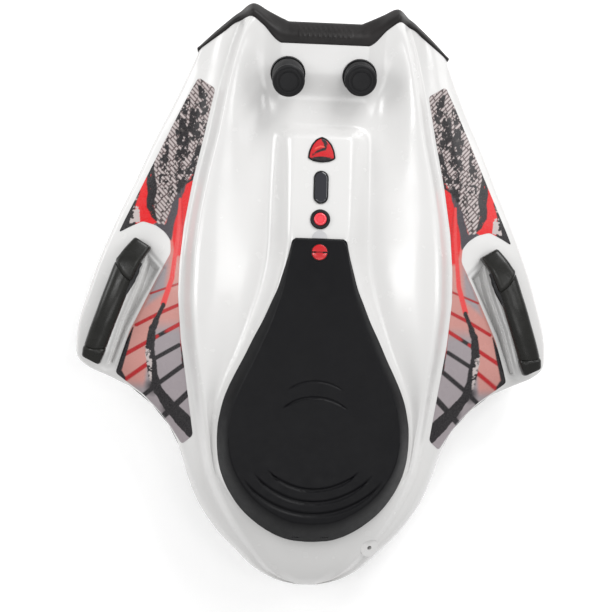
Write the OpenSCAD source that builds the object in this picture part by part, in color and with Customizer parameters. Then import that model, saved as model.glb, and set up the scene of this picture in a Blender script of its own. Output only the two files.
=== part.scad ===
// Body-board water scooter with twin ducted thrusters.
// Units are millimetres. +Z is up, +Y is the nose, +X is the rider's right.
// The origin is on the resting plane, midway along and across the board.

/* [Overall] */
// Length from the tail to the nose bumper
body_length = 890; // [700:10:1080]
// Width over the wing tips
body_width = 740; // [600:10:900]
// Thickness of the deck and hull mouldings
wall = 4.5; // [3:0.5:6]
// Height of the keel plane above the resting plane
skid_height = 14; // [8:1:24]

/* [Thrusters] */
// Distance of each thruster axis from the centre plane
thruster_x = 112; // [108:1:118]
// Height of the thruster axis
thruster_z = 54; // [52:1:56]
// Inner radius of the duct
duct_radius = 34; // [28:1:36]
// Wall thickness of the duct
duct_wall = 2.5; // [2:0.5:4]
// Length of the duct
duct_length = 150; // [130:5:160]
// Gap between the propeller tips and the duct
tip_gap = 1.5; // [1:0.25:3]
// Radius of the motor shaft
shaft_radius = 4; // [3:0.5:5]

/* [Grips] */
// Radius of the grip bar
grip_radius = 15; // [12:0.5:17]
// Radius of the trigger pin
trigger_pin_radius = 2; // [1.5:0.25:2.5]

/* [Nose plugs] */
// Radius of the two nose plugs
plug_radius = 24.2; // [20:0.2:27]
// Length of a nose plug
plug_length = 57; // [50:1:64]
// Height of the raised plug above the seated one
plug_lift = 20; // [10:1:22]

/* [Battery] */
// Width of the battery pack
battery_width = 118; // [90:2:124]
// Length of the battery pack
battery_length = 228; // [180:4:232]
// Height of the battery pack
battery_height = 86; // [60:2:90]

/* [Controls] */
// Radius of the power button cap
cap_radius = 9.5; // [7:0.5:11]
// Radius of the lid lock head
lock_radius = 13.5; // [11:0.5:15]
// Bore of the tail insert
insert_bore = 3.5; // [2.5:0.25:5]

/* [Hidden] */
$fn = 48;
kx = body_width / 740;
ky = body_length / 890;
run = 0.3;
fit = 0.06;

// half widths by position along the board: outline, crease, platform
outline_table = [[-445, 24], [-436, 55], [-418, 86], [-395, 110], [-360, 144], [-310, 177], [-270, 193],
  [-232, 205], [-200, 222], [-168, 250], [-142, 284], [-128, 315], [-112, 352], [-98, 366], [-84, 370],
  [-60, 369], [20, 348], [110, 314], [180, 282], [240, 256], [300, 228], [350, 206], [384, 191]];
crease_table = [[-445, 18], [-436, 44], [-418, 70], [-395, 91], [-360, 120], [-310, 150], [-270, 167],
  [-213, 179], [-130, 191.5], [-64, 202], [3, 208], [52, 207], [108, 202], [180, 190], [247, 175],
  [305, 162], [353, 146], [384, 131]];
platform_table = [[-445, 4], [-418, 16], [-360, 30], [-345, 42], [-335, 66], [-315, 98], [-299, 112],
  [-257, 134], [-212, 140], [-174, 137], [-136, 126], [-88, 103], [-32, 77], [18, 56], [63, 44], [90, 41],
  [384, 41]];
flank_table = [[-445, 4], [-418, 10], [-345, 14], [-208, 14], [-84, 20], [50, 36], [90, 39], [384, 39]];
// heights by position along the board
crease_z = [[-445, 93], [-436, 98], [-418, 107], [-395, 116], [-360, 121], [-310, 123], [-213, 125],
  [-130, 127], [0, 129], [108, 131], [247, 137], [300, 143], [350, 152], [384, 160]];
crest_z = [[-445, 96], [-436, 104], [-418, 115], [-395, 125], [-360, 134], [-310, 140], [-213, 146],
  [-130, 150], [0, 154], [108, 156], [247, 161], [300, 167], [350, 177], [384, 184]];
bowl_z = [[-445, 97], [-436, 108], [-418, 121], [-395, 132], [-370, 139], [-300, 142], [-208, 143],
  [200, 141], [270, 142], [300, 146], [345, 165], [384, 179]];
edge_z = [[-445, 90], [-436, 92], [-395, 98], [-360, 101], [-310, 104], [-232, 107], [-200, 106],
  [-168, 104], [-142, 100], [-112, 94], [-60, 95], [20, 100], [110, 106], [240, 118], [300, 126],
  [350, 136], [384, 146]];
platform_z = [[-368, 150], [-300, 154], [-208, 160], [-84, 167], [0, 173], [60, 176.5], [96, 178.5],
  [146, 176], [200, 171.5], [246, 166], [270, 162]];
keel_z = [[-445, 70], [-436, 60], [-418, 46], [-395, 34], [-360, 22], [-328, 14], [110, 14], [240, 20],
  [300, 30], [350, 50], [384, 74]];
nose_line = [[0, 384], [68, 384], [95, 410], [116, 422], [135, 416], [150, 404], [191, 375]];
bumper_line = [[0, 421], [55, 421], [88, 436], [109, 445], [117, 443.5], [130, 438], [150, 424], [193, 379.5]];
lid_table = [[-367.5, 5], [-366.5, 21], [-361.5, 43], [-352, 64], [-338, 85], [-320, 105], [-299, 121],
  [-279, 132], [-257, 140], [-236, 144], [-212, 145.5], [-194, 145], [-174, 142], [-156, 138], [-136, 131],
  [-112, 120], [-88, 108], [-60, 95], [-32, 81], [-6, 70], [18, 60], [42, 53], [63, 47], [80, 43], [88, 41],
  [91.5, 36]];
lid_top_table = [[-367.5, 184], [-345, 186], [-300, 190], [-208, 193], [-100, 193], [0, 190], [91.5, 186]];
lid_bevel_table = [[-367.5, 24], [-300, 18], [-208, 12], [-80, 8], [20, 4], [91.5, 2.5]];

deck_rows = [-445, -436, -418, -395, -370, -352, -336, -315, -290, -257, -232, -212, -190, -168, -142, -128,
  -112, -98, -84, -60, -32, 0, 30, 60, 96, 146, 180, 200, 246, 258, 270, 300, 322, 345, 365, 384];
deck_columns = [0, 0.5, 1, 1.33, 1.67, 2, 2.25, 2.5, 2.75, 3, 3.33, 3.67, 4, 4.3, 4.6, 4.85, 5];
hull_columns = [0, 1, 1.67, 2, 2.6, 3, 3.33, 3.67, 4, 4.3, 4.7, 5];

// Part to build

function ease(t) = let(k = min(1, max(0, t))) k * k * (3 - 2 * k);
function outline_w(y) = lookup(y, outline_table);
function crease_w(y) = lookup(y, crease_table);
function platform_w(y) = lookup(y, platform_table);
function flank_w(y) = lookup(y, flank_table);
function wall_foot(y) = min(22, crease_w(y) * 0.2);
function platform_amount(y) = y > 200 ? ease((270 - y) / 24) : ease((y + 352) / 16);

// half-width reached by a column number at a row
function column_x(q, y) = let(
    e = platform_w(y),
    b = e + flank_w(y),
    c = crease_w(y),
    r = max(b + 2, c - wall_foot(y)))
  q <= 1 ? q * e :
  q <= 2 ? e + (q - 1) * (b - e) :
  q <= 3 ? b + (q - 2) * (r - b) :
  q <= 4 ? r + (q - 3) * (c - r) : c + (q - 4) * (outline_w(y) - c);

// height of the deck at a column number and row
function deck_z(q, y) = let(
    crease = lookup(y, crease_z),
    crest = lookup(y, crest_z),
    bowl = lookup(y, bowl_z),
    wing = lookup(y, edge_z),
    top = lookup(y, platform_z),
    inner = crest + (bowl - crest) * ease(3 - q),
    base = q > 4 ? crease + (wing - crease) * (q - 4) + 4 * sin(180 * (q - 4)) :
      q > 3 ? crest + (crease - crest) * ease(q - 3) : inner,
    lift = q < 2 ? max(0, top - bowl) * ease(2 - q) * platform_amount(y) : 0)
  base + lift;

// height of the hull underside at a column number and row
function hull_z(q, y) = let(
    keel = lookup(y, keel_z),
    under = lookup(y, edge_z) - 30,
    chine = min(under - 1, max(keel + 4, 64)))
  q > 4 ? chine + (under - chine) * (q - 4) : keel + (chine - keel) * ease((q - 3) * 1.0);

function parting_z(y) = lookup(y, edge_z) - 9;

// nose rows follow the nose line
function nose_warp(x, y) = y + (lookup(abs(x), nose_line) - 384) * ease((y - 200) / 184);
function plan(q, y, inset = 0) = let(
    x = sign(q) * column_x(abs(q), y),
    k = inset == 0 ? 1 : max(0.1, 1 - inset / outline_w(y)),
    m = inset == 0 ? 1 : 1 - inset / 436)
  [x * k * kx, nose_warp(x, y) * m * ky];

function both(columns) = concat([for (i = [len(columns) - 1:-1:1]) -columns[i]], columns);

// thick sheet between two grids of points
module slab(top, bottom) {
  nr = len(top);
  nc = len(top[0]);
  m = nr * nc;
  points = concat([for (r = top) each r], [for (r = bottom) each r]);
  quads = concat(
    [for (i = [0:nr - 2], j = [0:nc - 2]) [i*nc + j, (i + 1)*nc + j, (i + 1)*nc + j + 1, i*nc + j + 1]],
    [for (i = [0:nr - 2], j = [0:nc - 2])
      [m + i*nc + j, m + i*nc + j + 1, m + (i + 1)*nc + j + 1, m + (i + 1)*nc + j]],
    [for (i = [0:nr - 2]) [i*nc, m + i*nc, m + (i + 1)*nc, (i + 1)*nc]],
    [for (i = [0:nr - 2])
      [i*nc + nc - 1, (i + 1)*nc + nc - 1, m + (i + 1)*nc + nc - 1, m + i*nc + nc - 1]],
    [for (j = [0:nc - 2]) [j, j + 1, m + j + 1, m + j]],
    [for (j = [0:nc - 2])
      [(nr - 1)*nc + j, m + (nr - 1)*nc + j, m + (nr - 1)*nc + j + 1, (nr - 1)*nc + j + 1]]);
  polyhedron(points, [for (q = quads) each [[q[0], q[1], q[2]], [q[0], q[2], q[3]]]], convexity = 8);
}

// closed band whose section is a ring of points repeated at each station
module band(sections, closed = false) {
  n = len(sections);
  k = len(sections[0]);
  points = [for (s = sections) each s];
  turns = closed ? n : n - 1;
  sides = [for (i = [0:turns - 1], j = [0:k - 1]) let(a = (i + 1) % n, b = (j + 1) % k)
    each [[i*k + j, i*k + b, a*k + b], [i*k + j, a*k + b, a*k + j]]];
  ends = closed ? [] : concat(
    [for (j = [1:k - 2]) [0, j + 1, j]],
    [for (j = [1:k - 2]) [(n - 1)*k, (n - 1)*k + j, (n - 1)*k + j + 1]]);
  polyhedron(points, concat(sides, ends), convexity = 8);
}

module at_deck(y, x = 0) {
  slope = atan((lookup(y + 3, platform_z) - lookup(y - 3, platform_z)) / (6 * ky));
  translate([x * kx, y * ky, lookup(y, platform_z)]) rotate([slope, 0, 0]) children();
}

module stadium(w, l, h) {
  linear_extrude(h) union() {
    translate([0, (l - w) / 2]) circle(w / 2);
    translate([0, -(l - w) / 2]) circle(w / 2);
    square([w, l - w], center = true);
  }
}

module ring(r_out, r_in, h) {
  difference() {
    cylinder(r = r_out, h = h);
    translate([0, 0, -1]) cylinder(r = r_in, h = h + 2);
  }
}

// ---- deck -------------------------------------------------------------------------------------
lip_inset = wall;
rim_columns = concat([-5], both(deck_columns), [5]);
function deck_outer(q, y, rim) = let(p = plan(q, y)) [p.x, p.y, rim ? parting_z(y) + 1.2 : deck_z(abs(q), y)];
function deck_inner(q, y, rim) = let(p = plan(q, y, lip_inset))
  [p.x, p.y, rim ? parting_z(y) + 1.2 : max(parting_z(y) + 2.4, deck_z(abs(q), y) - wall)];
function rows_with_rims(rows) = concat([rows[0]], rows, [rows[len(rows) - 1]]);
function grid_of(rows, columns, inner) = let(rr = rows_with_rims(rows), n = len(rr), k = len(columns))
  [for (i = [0:n - 1]) [for (j = [0:k - 1]) let(rim = i == 0 || i == n - 1 || j == 0 || j == k - 1)
    inner ? deck_inner(columns[j], rr[i], rim) : deck_outer(columns[j], rr[i], rim)]];

well_y = 341;
well_x = 54.5;
well_tilt = 25;
well_wall = 2;
module at_well(side) {
  translate([side * well_x * kx, well_y * ky, 163.5]) rotate([well_tilt, 0, 0]) children();
}
bay_front = -62;
bay_rear = -324;
bay_half = 66;
lock_y = 71;
insert_at = [94, -380];
insert_z = 123;
insert_radius = 14.5;
module at_insert() {
  translate([insert_at.x * kx, insert_at.y * ky, insert_z]) rotate([14, 18, 0]) children();
}
hinge_y = -357;
hinge_z = 157;

module deck_shell() {
  color("white") difference() {
    slab(grid_of(deck_rows, rim_columns, false), grid_of(deck_rows, rim_columns, true));
    for (side = [-1, 1]) at_well(side) translate([0, 0, -40]) cylinder(r = plug_radius + well_wall + 0.3, h = 80);
    translate([-bay_half * kx, bay_rear * ky, 120])
      cube([2 * bay_half * kx, (bay_front - bay_rear) * ky, 80]);
    at_deck(display_y) translate([0, 0, -20]) stadium(18.3, 46.3, 40);
    at_deck(button_y) translate([0, 0, -20]) cylinder(r = cap_radius + 3.3, h = 40);
    translate([0, lock_y * ky, 140]) cylinder(r = 11.3, h = 60);
    at_insert() translate([0, 0, -20]) cylinder(r = insert_radius + 0.3, h = 40);
    for (side = [-1, 1]) {
      pod_cut(side);
      for (i = [0, 4]) translate([-side * grip_path[i].x * kx, grip_path[i].y * ky, 85])
        cylinder(r = grip_foot_radius + 0.4, h = 60);
    }
  }
}

// ---- wing pods --------------------------------------------------------------------------------
// recess that the fingers reach into, beside each grip
recess_plan = [[-262, 66], [-240, 42], [-262, 0], [-287, -50], [-309, -108], [-322, -112], [-300, -40],
  [-278, 14]];
module pod_prism(side, z0, h) {
  translate([0, 0, z0]) linear_extrude(h)
    polygon([for (p = recess_plan) [-side * p.x * kx, p.y * ky]]);
}
module pod_cut(side) {
  pod_prism(side, 60, 90);
}

// ---- hull -------------------------------------------------------------------------------------
hull_rows = [-445, -436, -418, -395, -360, -328, -310, -270, -232, -200, -168, -142, -112, -84, -40, 20, 60,
  110, 180, 240, 270, 300, 350, 384];
tunnel_half = 42;
tunnel_front = -40;
tunnel_roof = 96;
tunnel_rear = -330;
outlet_rear = -425;
outlet_roof = 64;
liner = 3;
module tunnel_space(grow) {
  w = tunnel_half + grow;
  for (side = [-1, 1]) {
    translate([side * thruster_x * kx - w, tunnel_rear * ky - grow, -10])
      cube([2 * w, (tunnel_front - tunnel_rear) * ky + 2 * grow, tunnel_roof + grow + 10]);
    translate([side * thruster_x * kx - w, outlet_rear * ky, -10])
      cube([2 * w, (tunnel_rear - outlet_rear + 8) * ky, outlet_roof + grow + 10]);
  }
}
hull_top = 110;
function hull_lid(q, y, i, n) = let(p = plan(q, y))
  [p.x, p.y, i < 3 || i > n - 3 || abs(q) > 4.2 ? parting_z(y) - 1.2 : hull_top];
module hull_block() {
  n = len(hull_rows);
  full = both(hull_columns);
  slab([for (i = [0:n - 1]) [for (q = full) hull_lid(q, hull_rows[i], i, n)]],
    [for (y = hull_rows) [for (q = full) let(p = plan(q, y)) [p.x, p.y, hull_z(abs(q), y)]]]);
}
module hull_inside() {
  full = both(hull_columns);
  under = [for (y = hull_rows) [for (q = full) let(p = plan(q, y, lip_inset))
    [p.x, p.y, min(parting_z(y) - 2.4, hull_z(abs(q), y) + wall)]]];
  slab([for (r = under) [for (p = r) [p.x, p.y, hull_top + 5]]], under);
}
module hull_shell() {
  color("white") difference() {
    hull_block();
    difference() {
      hull_inside();
      tunnel_space(liner);
    }
    tunnel_space(0);
    for (side = [-1, 1]) for (p = shell_screw_at)
      translate([side * p.x * kx, p.y * ky, -5]) cylinder(r = screw_hole, h = 80);
    for (side = [-1, 1]) {
      for (i = [0, 4]) translate([-side * grip_path[i].x * kx, grip_path[i].y * ky, 40])
        cylinder(r = screw_hole, h = 60);
      translate([side * thruster_x * kx, tunnel_front * ky - 5, cable_z]) rotate([-90, 0, 0])
        cylinder(r = cable_radius + 0.3, h = 30);
    }
  }
}
shell_screw_at = [[150, 90], [150, -20], [60, 150]];
screw_hole = 2.6;
module shell_screws() {
  color("silver") for (side = [-1, 1]) for (p = shell_screw_at)
    translate([side * p.x * kx, p.y * ky, hull_floor(p) - 3.6]) union() {
      cylinder(r = 4.5, h = 3);
      cylinder(r = 2.3, h = 16);
    }
}
function hull_floor(p) = let(c = crease_w(p.y), r = c - wall_foot(p.y), b = platform_w(p.y) + flank_w(p.y),
    q = p.x < r ? 2.9 : p.x < c ? 3 + (p.x - r) / (c - r) : 4 + (p.x - c) / (outline_w(p.y) - c))
  hull_z(q, p.y);

// ---- gasket and nose bumper -------------------------------------------------------------------
rows_of_rim = [-445, -436, -418, -395, -370, -336, -310, -270, -232, -200, -168, -142, -128, -112, -98, -84,
  -60, 20, 110, 180, 240, 300, 350, 384];
reversed_rows = [for (i = [len(rows_of_rim) - 1:-1:0]) rows_of_rim[i]];
gasket_path = concat(
  [for (y = rows_of_rim) [outline_w(y), y]],
  [for (y = reversed_rows) [-outline_w(y), y]]);
gasket_inset = 4;
module perimeter_gasket() {
  sections = [for (p = gasket_path) let(
      z = parting_z(p.y),
      k = 1 - gasket_inset / outline_w(p.y),
      m = 1 - gasket_inset / 436,
      y = nose_warp(p.x, p.y))
    [[p.x * kx, y * ky, z - 0.9], [p.x * kx, y * ky, z + 0.9],
     [p.x * k * kx, y * m * ky, z + 0.9], [p.x * k * kx, y * m * ky, parting_z(p.y * m) - 0.9]]];
  color("black") band(sections, closed = true);
}

bumper_foot = 100;
bumper_gap = 0.4;
module front_bumper() {
  sections = [for (q = both(deck_columns)) let(
      x = sign(q) * column_x(abs(q), 384),
      yi = lookup(abs(x), nose_line) + bumper_gap,
      yo = lookup(abs(x), bumper_line),
      zt = deck_z(abs(q), 384) + 1.5)
    [[x * kx, yi * ky, bumper_foot], [x * kx, yi * ky, zt], [x * kx, (yi + (yo - yi) * 0.25) * ky, zt + 2],
     [x * kx, (yi + (yo - yi) * 0.85) * ky, zt - 9], [x * kx, yo * ky, zt - 16],
     [x * kx, (yo - (yo - yi) * 0.25) * ky, bumper_foot]]];
  color([0.1, 0.1, 0.1]) difference() {
    band(sections);
    for (side = [-1, 1]) for (x = [40, 112]) translate([side * x * kx, 360 * ky, 112])
      rotate([-90, 0, 0]) cylinder(r = screw_hole, h = 120);
  }
}
module bumper_screws() {
  color("silver") for (side = [-1, 1]) for (x = [40, 112])
    translate([side * x * kx, (lookup(x, nose_line) + 2) * ky, 112]) rotate([-90, 0, 0])
      cylinder(r = 2.3, h = (lookup(x, bumper_line) - lookup(x, nose_line)) * 0.6 * ky);
}

// ---- wing pods --------------------------------------------------------------------------------
wing_rows = [-142, -128, -112, -98, -84, -60, -32, 0, 30, 60, 96, 146];
wing_columns = [4, 4.3, 4.6, 4.85, 5];
function wing_sheet(side, rows, z_add) = [for (y = rows) [for (j = [0:len(wing_columns) - 1])
  let(i = side > 0 ? j : len(wing_columns) - 1 - j, q = wing_columns[i], p = plan(side * q, y))
  [p.x, p.y, deck_z(q, y) + z_add]]];
function flat_sheet(rows, z) = [for (r = rows) [for (p = r) [p.x, p.y, z]]];
cup_floor = 82;
cup_wall = 2.6;
cup_gap = 0.3;
module pod_plan(side, inset) {
  offset(delta = -inset) polygon([for (p = recess_plan) [-side * p.x * kx, p.y * ky]]);
}
module pod_cup(side) {
  sheet = wing_sheet(side, wing_rows, 0.4);
  color("white") difference() {
    intersection() {
      slab(sheet, flat_sheet(sheet, cup_floor));
      translate([0, 0, cup_floor - 1]) linear_extrude(60) pod_plan(side, cup_gap);
    }
    translate([0, 0, cup_floor + cup_wall]) linear_extrude(60) pod_plan(side, cup_gap + cup_wall);
  }
}

decal_plan = [[164, 318], [190, 334], [206, 306], [228, 262], [252, 212], [276, 162], [299, 114], [307, 96],
  [288, 107], [268, 113], [247, 103], [229, 84], [227, 63], [238, 40], [272, -40], [304, -121], [288, -134],
  [262, -154], [238, -178], [217, -205], [200, -228], [183, -213], [188, -180], [196, -128], [206, -64],
  [212, 3], [211, 52], [206, 108], [194, 180], [179, 247]];
decal_rows = [-257, -232, -212, -190, -168, -142, -128, -112, -98, -84, -60, -32, 0, 30, 60, 96, 146, 180,
  200, 246, 258, 270, 300, 322, 345];
film = 0.5;
module decal(side) {
  intersection() {
    slab(wing_sheet(side, decal_rows, film), wing_sheet(side, decal_rows, 0.04));
    translate([0, 0, 60]) linear_extrude(120) polygon([for (p = decal_plan) [side * p.x * kx, p.y * ky]]);
  }
}
module left_decal() {
  color("crimson") decal(-1);
}
module right_decal() {
  color("crimson") decal(1);
}

// ---- grips ------------------------------------------------------------------------------------
grip_path = [[-269, 76, 133.5], [-284, 50, 140], [-309, 8, 139], [-333, -55, 131], [-342, -96, 115]];
grip_foot_radius = 9;
trigger_length = 66;
trigger_range = 7;
function foot_z(i) = hull_floor([-grip_path[i].x, grip_path[i].y]) + wall + 1.4;
module on_side(side) {
  if (side < 0) children();
  else mirror([1, 0, 0]) children();
}
module at_trigger() {
  a = grip_path[1];
  b = grip_path[2];
  translate([(a.x + b.x) / 2 * kx, (a.y + b.y) / 2 * ky, (a.z + b.z) / 2])
    rotate([0, 0, -atan((a.x - b.x) * kx / ((a.y - b.y) * ky))]) children();
}
trigger_pin_at = [8, trigger_length / 2 - 3, 0];
module grip() {
  color([0.1, 0.1, 0.1]) difference() {
    union() {
      for (i = [0:3]) hull() for (p = [grip_path[i], grip_path[i + 1]])
        translate([p.x * kx, p.y * ky, p.z]) scale([1, 1, 0.8]) sphere(r = grip_radius, $fn = 20);
      for (i = [0, 4]) translate([grip_path[i].x * kx, grip_path[i].y * ky, foot_z(i)])
        cylinder(r = grip_foot_radius, h = grip_path[i].z - foot_z(i));
    }
    for (i = [0, 4]) translate([grip_path[i].x * kx, grip_path[i].y * ky, foot_z(i) - 1])
      cylinder(r = 2.35, h = 16);
    at_trigger() translate([-1, -trigger_length / 2 - 4, -6]) cube([24, trigger_length + 8, 12]);
    at_trigger() translate(trigger_pin_at - [0, 0, 9.6]) cylinder(r = trigger_pin_radius + 0.02, h = 19.2);
  }
}
module left_grip() {
  grip();
}
module right_grip() {
  on_side(1) grip();
}
module trigger() {
  color([0.25, 0.25, 0.25]) at_trigger() difference() {
    union() {
      translate([trigger_pin_at.x, trigger_pin_at.y, -5.5]) cylinder(r = 4.5, h = 8);
      translate([9, trigger_length / 2 - 12, -5.5]) cube([6, 10, 8]);
      translate([9, -trigger_length / 2, -5.5]) cube([9, trigger_length - 9, 11]);
      translate([15, -trigger_length / 2, -5.5]) cube([5, 40, 11]);
    }
    translate([trigger_pin_at.x, trigger_pin_at.y, -8]) cylinder(r = trigger_pin_radius + fit, h = 16);
  }
}
module left_trigger() {
  trigger();
}
module right_trigger() {
  on_side(1) trigger();
}
module trigger_pin() {
  color("silver") at_trigger() translate(trigger_pin_at - [0, 0, 9.5])
    cylinder(r = trigger_pin_radius, h = 19);
}
module trigger_pins() {
  for (side = [-1, 1]) on_side(side) trigger_pin();
}
module trigger_spring() {
  color("silver") at_trigger() translate([trigger_pin_at.x, trigger_pin_at.y, 2.8])
    ring(4.2, trigger_pin_radius + 0.3, 3);
}
module left_trigger_spring() {
  trigger_spring();
}
module right_trigger_spring() {
  on_side(1) trigger_spring();
}
module grip_screws() {
  color("silver") for (side = [-1, 1]) for (i = [0, 4])
    translate([-side * grip_path[i].x * kx, grip_path[i].y * ky, foot_z(i) - wall - 5.4]) union() {
      cylinder(r = 4.5, h = 3);
      cylinder(r = 2.3, h = wall + 18);
    }
}
module pod_cups() {
  pod_cup(-1);
  pod_cup(1);
}

// ---- nose plugs -------------------------------------------------------------------------------
well_depth = 30;
module plug(lift) {
  color([0.08, 0.08, 0.08]) translate([0, 0, 0.3 - well_depth + lift]) difference() {
    union() {
      cylinder(r = plug_radius, h = plug_length - 3);
      translate([0, 0, plug_length - 3]) cylinder(r1 = plug_radius, r2 = plug_radius - 3, h = 3);
    }
    translate([0, 0, plug_length - 1]) ring(15, 13.4, 2);
  }
}
module left_plug() {
  at_well(-1) plug(plug_lift);
}
module right_plug() {
  at_well(1) plug(0);
}
module well() {
  color([0.06, 0.06, 0.06]) difference() {
    translate([0, 0, -well_depth - 3]) cylinder(r = plug_radius + well_wall, h = well_depth + 6);
    translate([0, 0, -well_depth]) cylinder(r = plug_radius + fit, h = well_depth + 10);
  }
}
module left_well() {
  at_well(-1) well();
}
module right_well() {
  at_well(1) well();
}

// ---- console ----------------------------------------------------------------------------------
badge_y = 227;
display_y = 169.5;
button_y = 121;
seat = 0.1;
notch_y = 96;
notch_radius = 11.5;
notch_gap = 0.9;
board_drop = 4.9;
badge_plan = [[0, 20.5], [-9, 14.5], [-16, 4], [-20, -8], [-21.4, -15.5], [-11, -18.8], [0, -20.2], [11, -18.8],
  [21.4, -15.5], [20, -8], [16, 4], [9, 14.5]];
module badge() {
  color("red") at_deck(badge_y) translate([0, 0, seat]) linear_extrude(2.2) polygon(badge_plan);
}
module display_bezel() {
  color([0.1, 0.1, 0.1]) at_deck(display_y) difference() {
    union() {
      translate([0, 0, seat]) stadium(22.5, 50.5, 2.2);
      translate([0, 0, -wall - 0.5]) stadium(17.9, 45.9, wall + 1.5);
    }
    translate([0, 0, -wall - 1.5]) stadium(15.5, 43.5, wall + 7.5);
    translate([0, 0, 1]) stadium(18.5, 46.5, 4);
  }
}
module display_lens() {
  color([0.05, 0.05, 0.07]) at_deck(display_y) translate([0, 0, 1.02]) stadium(18.2, 46.2, 1.1);
}
module display_board() {
  color("green") at_deck(display_y) union() {
    translate([-12, -27, -wall - board_drop]) cube([24, 54, 4]);
    translate([-5, -18, -wall - board_drop + 4]) cube([10, 36, wall + 0.5]);
  }
}
module button_bezel() {
  color([0.1, 0.1, 0.1]) at_deck(button_y) difference() {
    union() {
      translate([0, 0, seat]) cylinder(r = cap_radius + 5.5, h = 3);
      translate([0, 0, -8.9]) cylinder(r = cap_radius + 3, h = 10);
    }
    translate([0, 0, -10]) cylinder(r = cap_radius + fit, h = 20);
  }
}
module button_cap() {
  color("red") at_deck(button_y) union() {
    translate([0, 0, -3]) cylinder(r = cap_radius, h = 6.6);
    translate([0, 0, 3.6]) cylinder(r1 = cap_radius, r2 = cap_radius - 1.5, h = 1);
  }
}
module button_spring() {
  color("silver") at_deck(button_y) translate([0, 0, -8.9]) ring(5, 4, 5.7);
}
module button_switch() {
  color("green") at_deck(button_y) translate([-10, -10, -16.2]) cube([20, 20, 7]);
}
module finger_notch() {
  color("gray") at_deck(notch_y) translate([0, notch_gap - (notch_y - lid_front) * ky, seat]) difference() {
    cylinder(r = notch_radius, h = 0.9);
    translate([-20, -30, -1]) cube([40, 30, 4]);
  }
}

// ---- battery lid ------------------------------------------------------------------------------
lid_rows = [for (p = lid_table) p[0]];
lid_front = 91.5;
function lid_o(y) = lookup(y, lid_table);
function lid_turn(y) = let(d = abs(lid_o(min(91.5, y + 2)) - lid_o(max(-367.5, y - 2))) / 4) sqrt(1 + d * d);
function lid_b(y) = lookup(y, lid_bevel_table);
function lid_reach(x, y) = max(0, min((lid_o(y) - abs(x)) / lid_turn(y), y + 367.5, 92 - y));
function lid_base(y) = lookup(y, platform_z);
function lid_outer_z(x, y) = let(lo = lid_base(y) + 3, hi = lookup(y, lid_top_table))
  lo + (hi - lo) * sin(90 * min(1, lid_reach(x, y) / lid_b(y)));
function lid_inner_z(x, y) = let(lo = lid_base(y) + 3.4, hi = max(lo, lookup(y, lid_top_table) - 5),
    d = lid_reach(x, y))
  lo + (hi - lo) * ease((d - 14) / (lid_b(y) + 4));
// x of an edge distance at a row, kept outside a share of the row's width
function lid_in(d, share, y) = max(lid_o(y) * share, lid_o(y) - d * lid_turn(y));
function lid_outer_x(j, y) = let(b = lid_b(y))
  j == 0 ? 0 : j == 1 ? lid_o(y) * 0.35 : j == 2 ? lid_in(b + 34, 0.5, y) : j == 3 ? lid_in(b + 10, 0.65, y) :
  j == 4 ? lid_in(b, 0.75, y) : j == 5 ? lid_in(b * 0.66, 0.85, y) : j == 6 ? lid_in(b * 0.33, 0.93, y) :
  lid_o(y);
function lid_inner_x(j, y) = let(b = lid_b(y))
  j == 0 ? 0 : j == 1 ? lid_in(b + 26, 0.4, y) : j == 2 ? lid_in(b + 15, 0.55, y) : j == 3 ? lid_in(13, 0.7, y) :
  lid_in(4, 0.9, y);
function mirrored(n) = [for (j = [-n:n]) j];
function signed(j, v) = j < 0 ? -v : v;
lid_top_grid = [for (y = lid_rows) [for (j = mirrored(7)) let(x = signed(j, lid_outer_x(abs(j), y)))
  [x * kx, y * ky, lid_outer_z(x, y)]]];
lid_hollow_rows = [for (y = lid_rows) if (y > -364 && y < 87) y];
lid_hollow_grid = [for (y = lid_hollow_rows) [for (j = mirrored(4)) let(x = signed(j, lid_inner_x(abs(j), y)))
  [x * kx, y * ky, lid_inner_z(x, y)]]];
lock_z = 186.9;
module battery_lid() {
  color([0.12, 0.12, 0.13]) difference() {
    slab(lid_top_grid, [for (r = lid_top_grid) [for (p = r) [p.x, p.y, lid_base(p.y / ky) + 0.5]]]);
    slab(lid_hollow_grid, [for (r = lid_hollow_grid) [for (p = r) [p.x, p.y, lid_base(p.y / ky) - 2]]]);
    translate([0, lock_y * ky, 150]) cylinder(r = 5.3, h = 60);
    translate([0, lock_y * ky, lock_z - 2.5]) cylinder(r = lock_radius + 0.4, h = 20);
    translate([-33, hinge_y * ky, hinge_z]) rotate([0, 90, 0]) cylinder(r = hinge_pin_radius + fit, h = 66);
    for (x = [-22, 22]) {
      translate([x - 5, hinge_y * ky, hinge_z]) rotate([0, 90, 0]) cylinder(r = 4.8, h = 10);
      translate([x - 5, hinge_y * ky - 3, 130]) cube([10, 26, hinge_z + 4.8 - 130]);
    }
  }
}
hinge_pin_radius = 2;
bracket_reach = 8;
module lid_hinge_pin() {
  color("silver") translate([-32, hinge_y * ky, hinge_z]) rotate([0, 90, 0])
    cylinder(r = hinge_pin_radius, h = 64);
}
module lid_hinge_brackets() {
  color("silver") for (x = [-22, 22]) difference() {
    union() {
      translate([x - 4, hinge_y * ky, hinge_z]) rotate([0, 90, 0]) cylinder(r = 4, h = 8);
      translate([x - 4, hinge_y * ky, hinge_z - 4]) cube([8, bracket_reach * ky + 4, 8]);
      translate([x - 4, (hinge_y + bracket_reach) * ky, 146.9]) cube([8, 5 * ky, 8]);
    }
    translate([x - 5, hinge_y * ky, hinge_z]) rotate([0, 90, 0]) cylinder(r = hinge_pin_radius + 0.02, h = 10);
  }
}
seal_rows = [-320, -299, -257, -212, -174, -136, -88, -32, 18, 50];
seal_path = concat([for (y = seal_rows) [lid_o(y) - 11, y]],
  [for (i = [len(seal_rows) - 1:-1:0]) [11 - lid_o(seal_rows[i]), seal_rows[i]]]);
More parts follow.
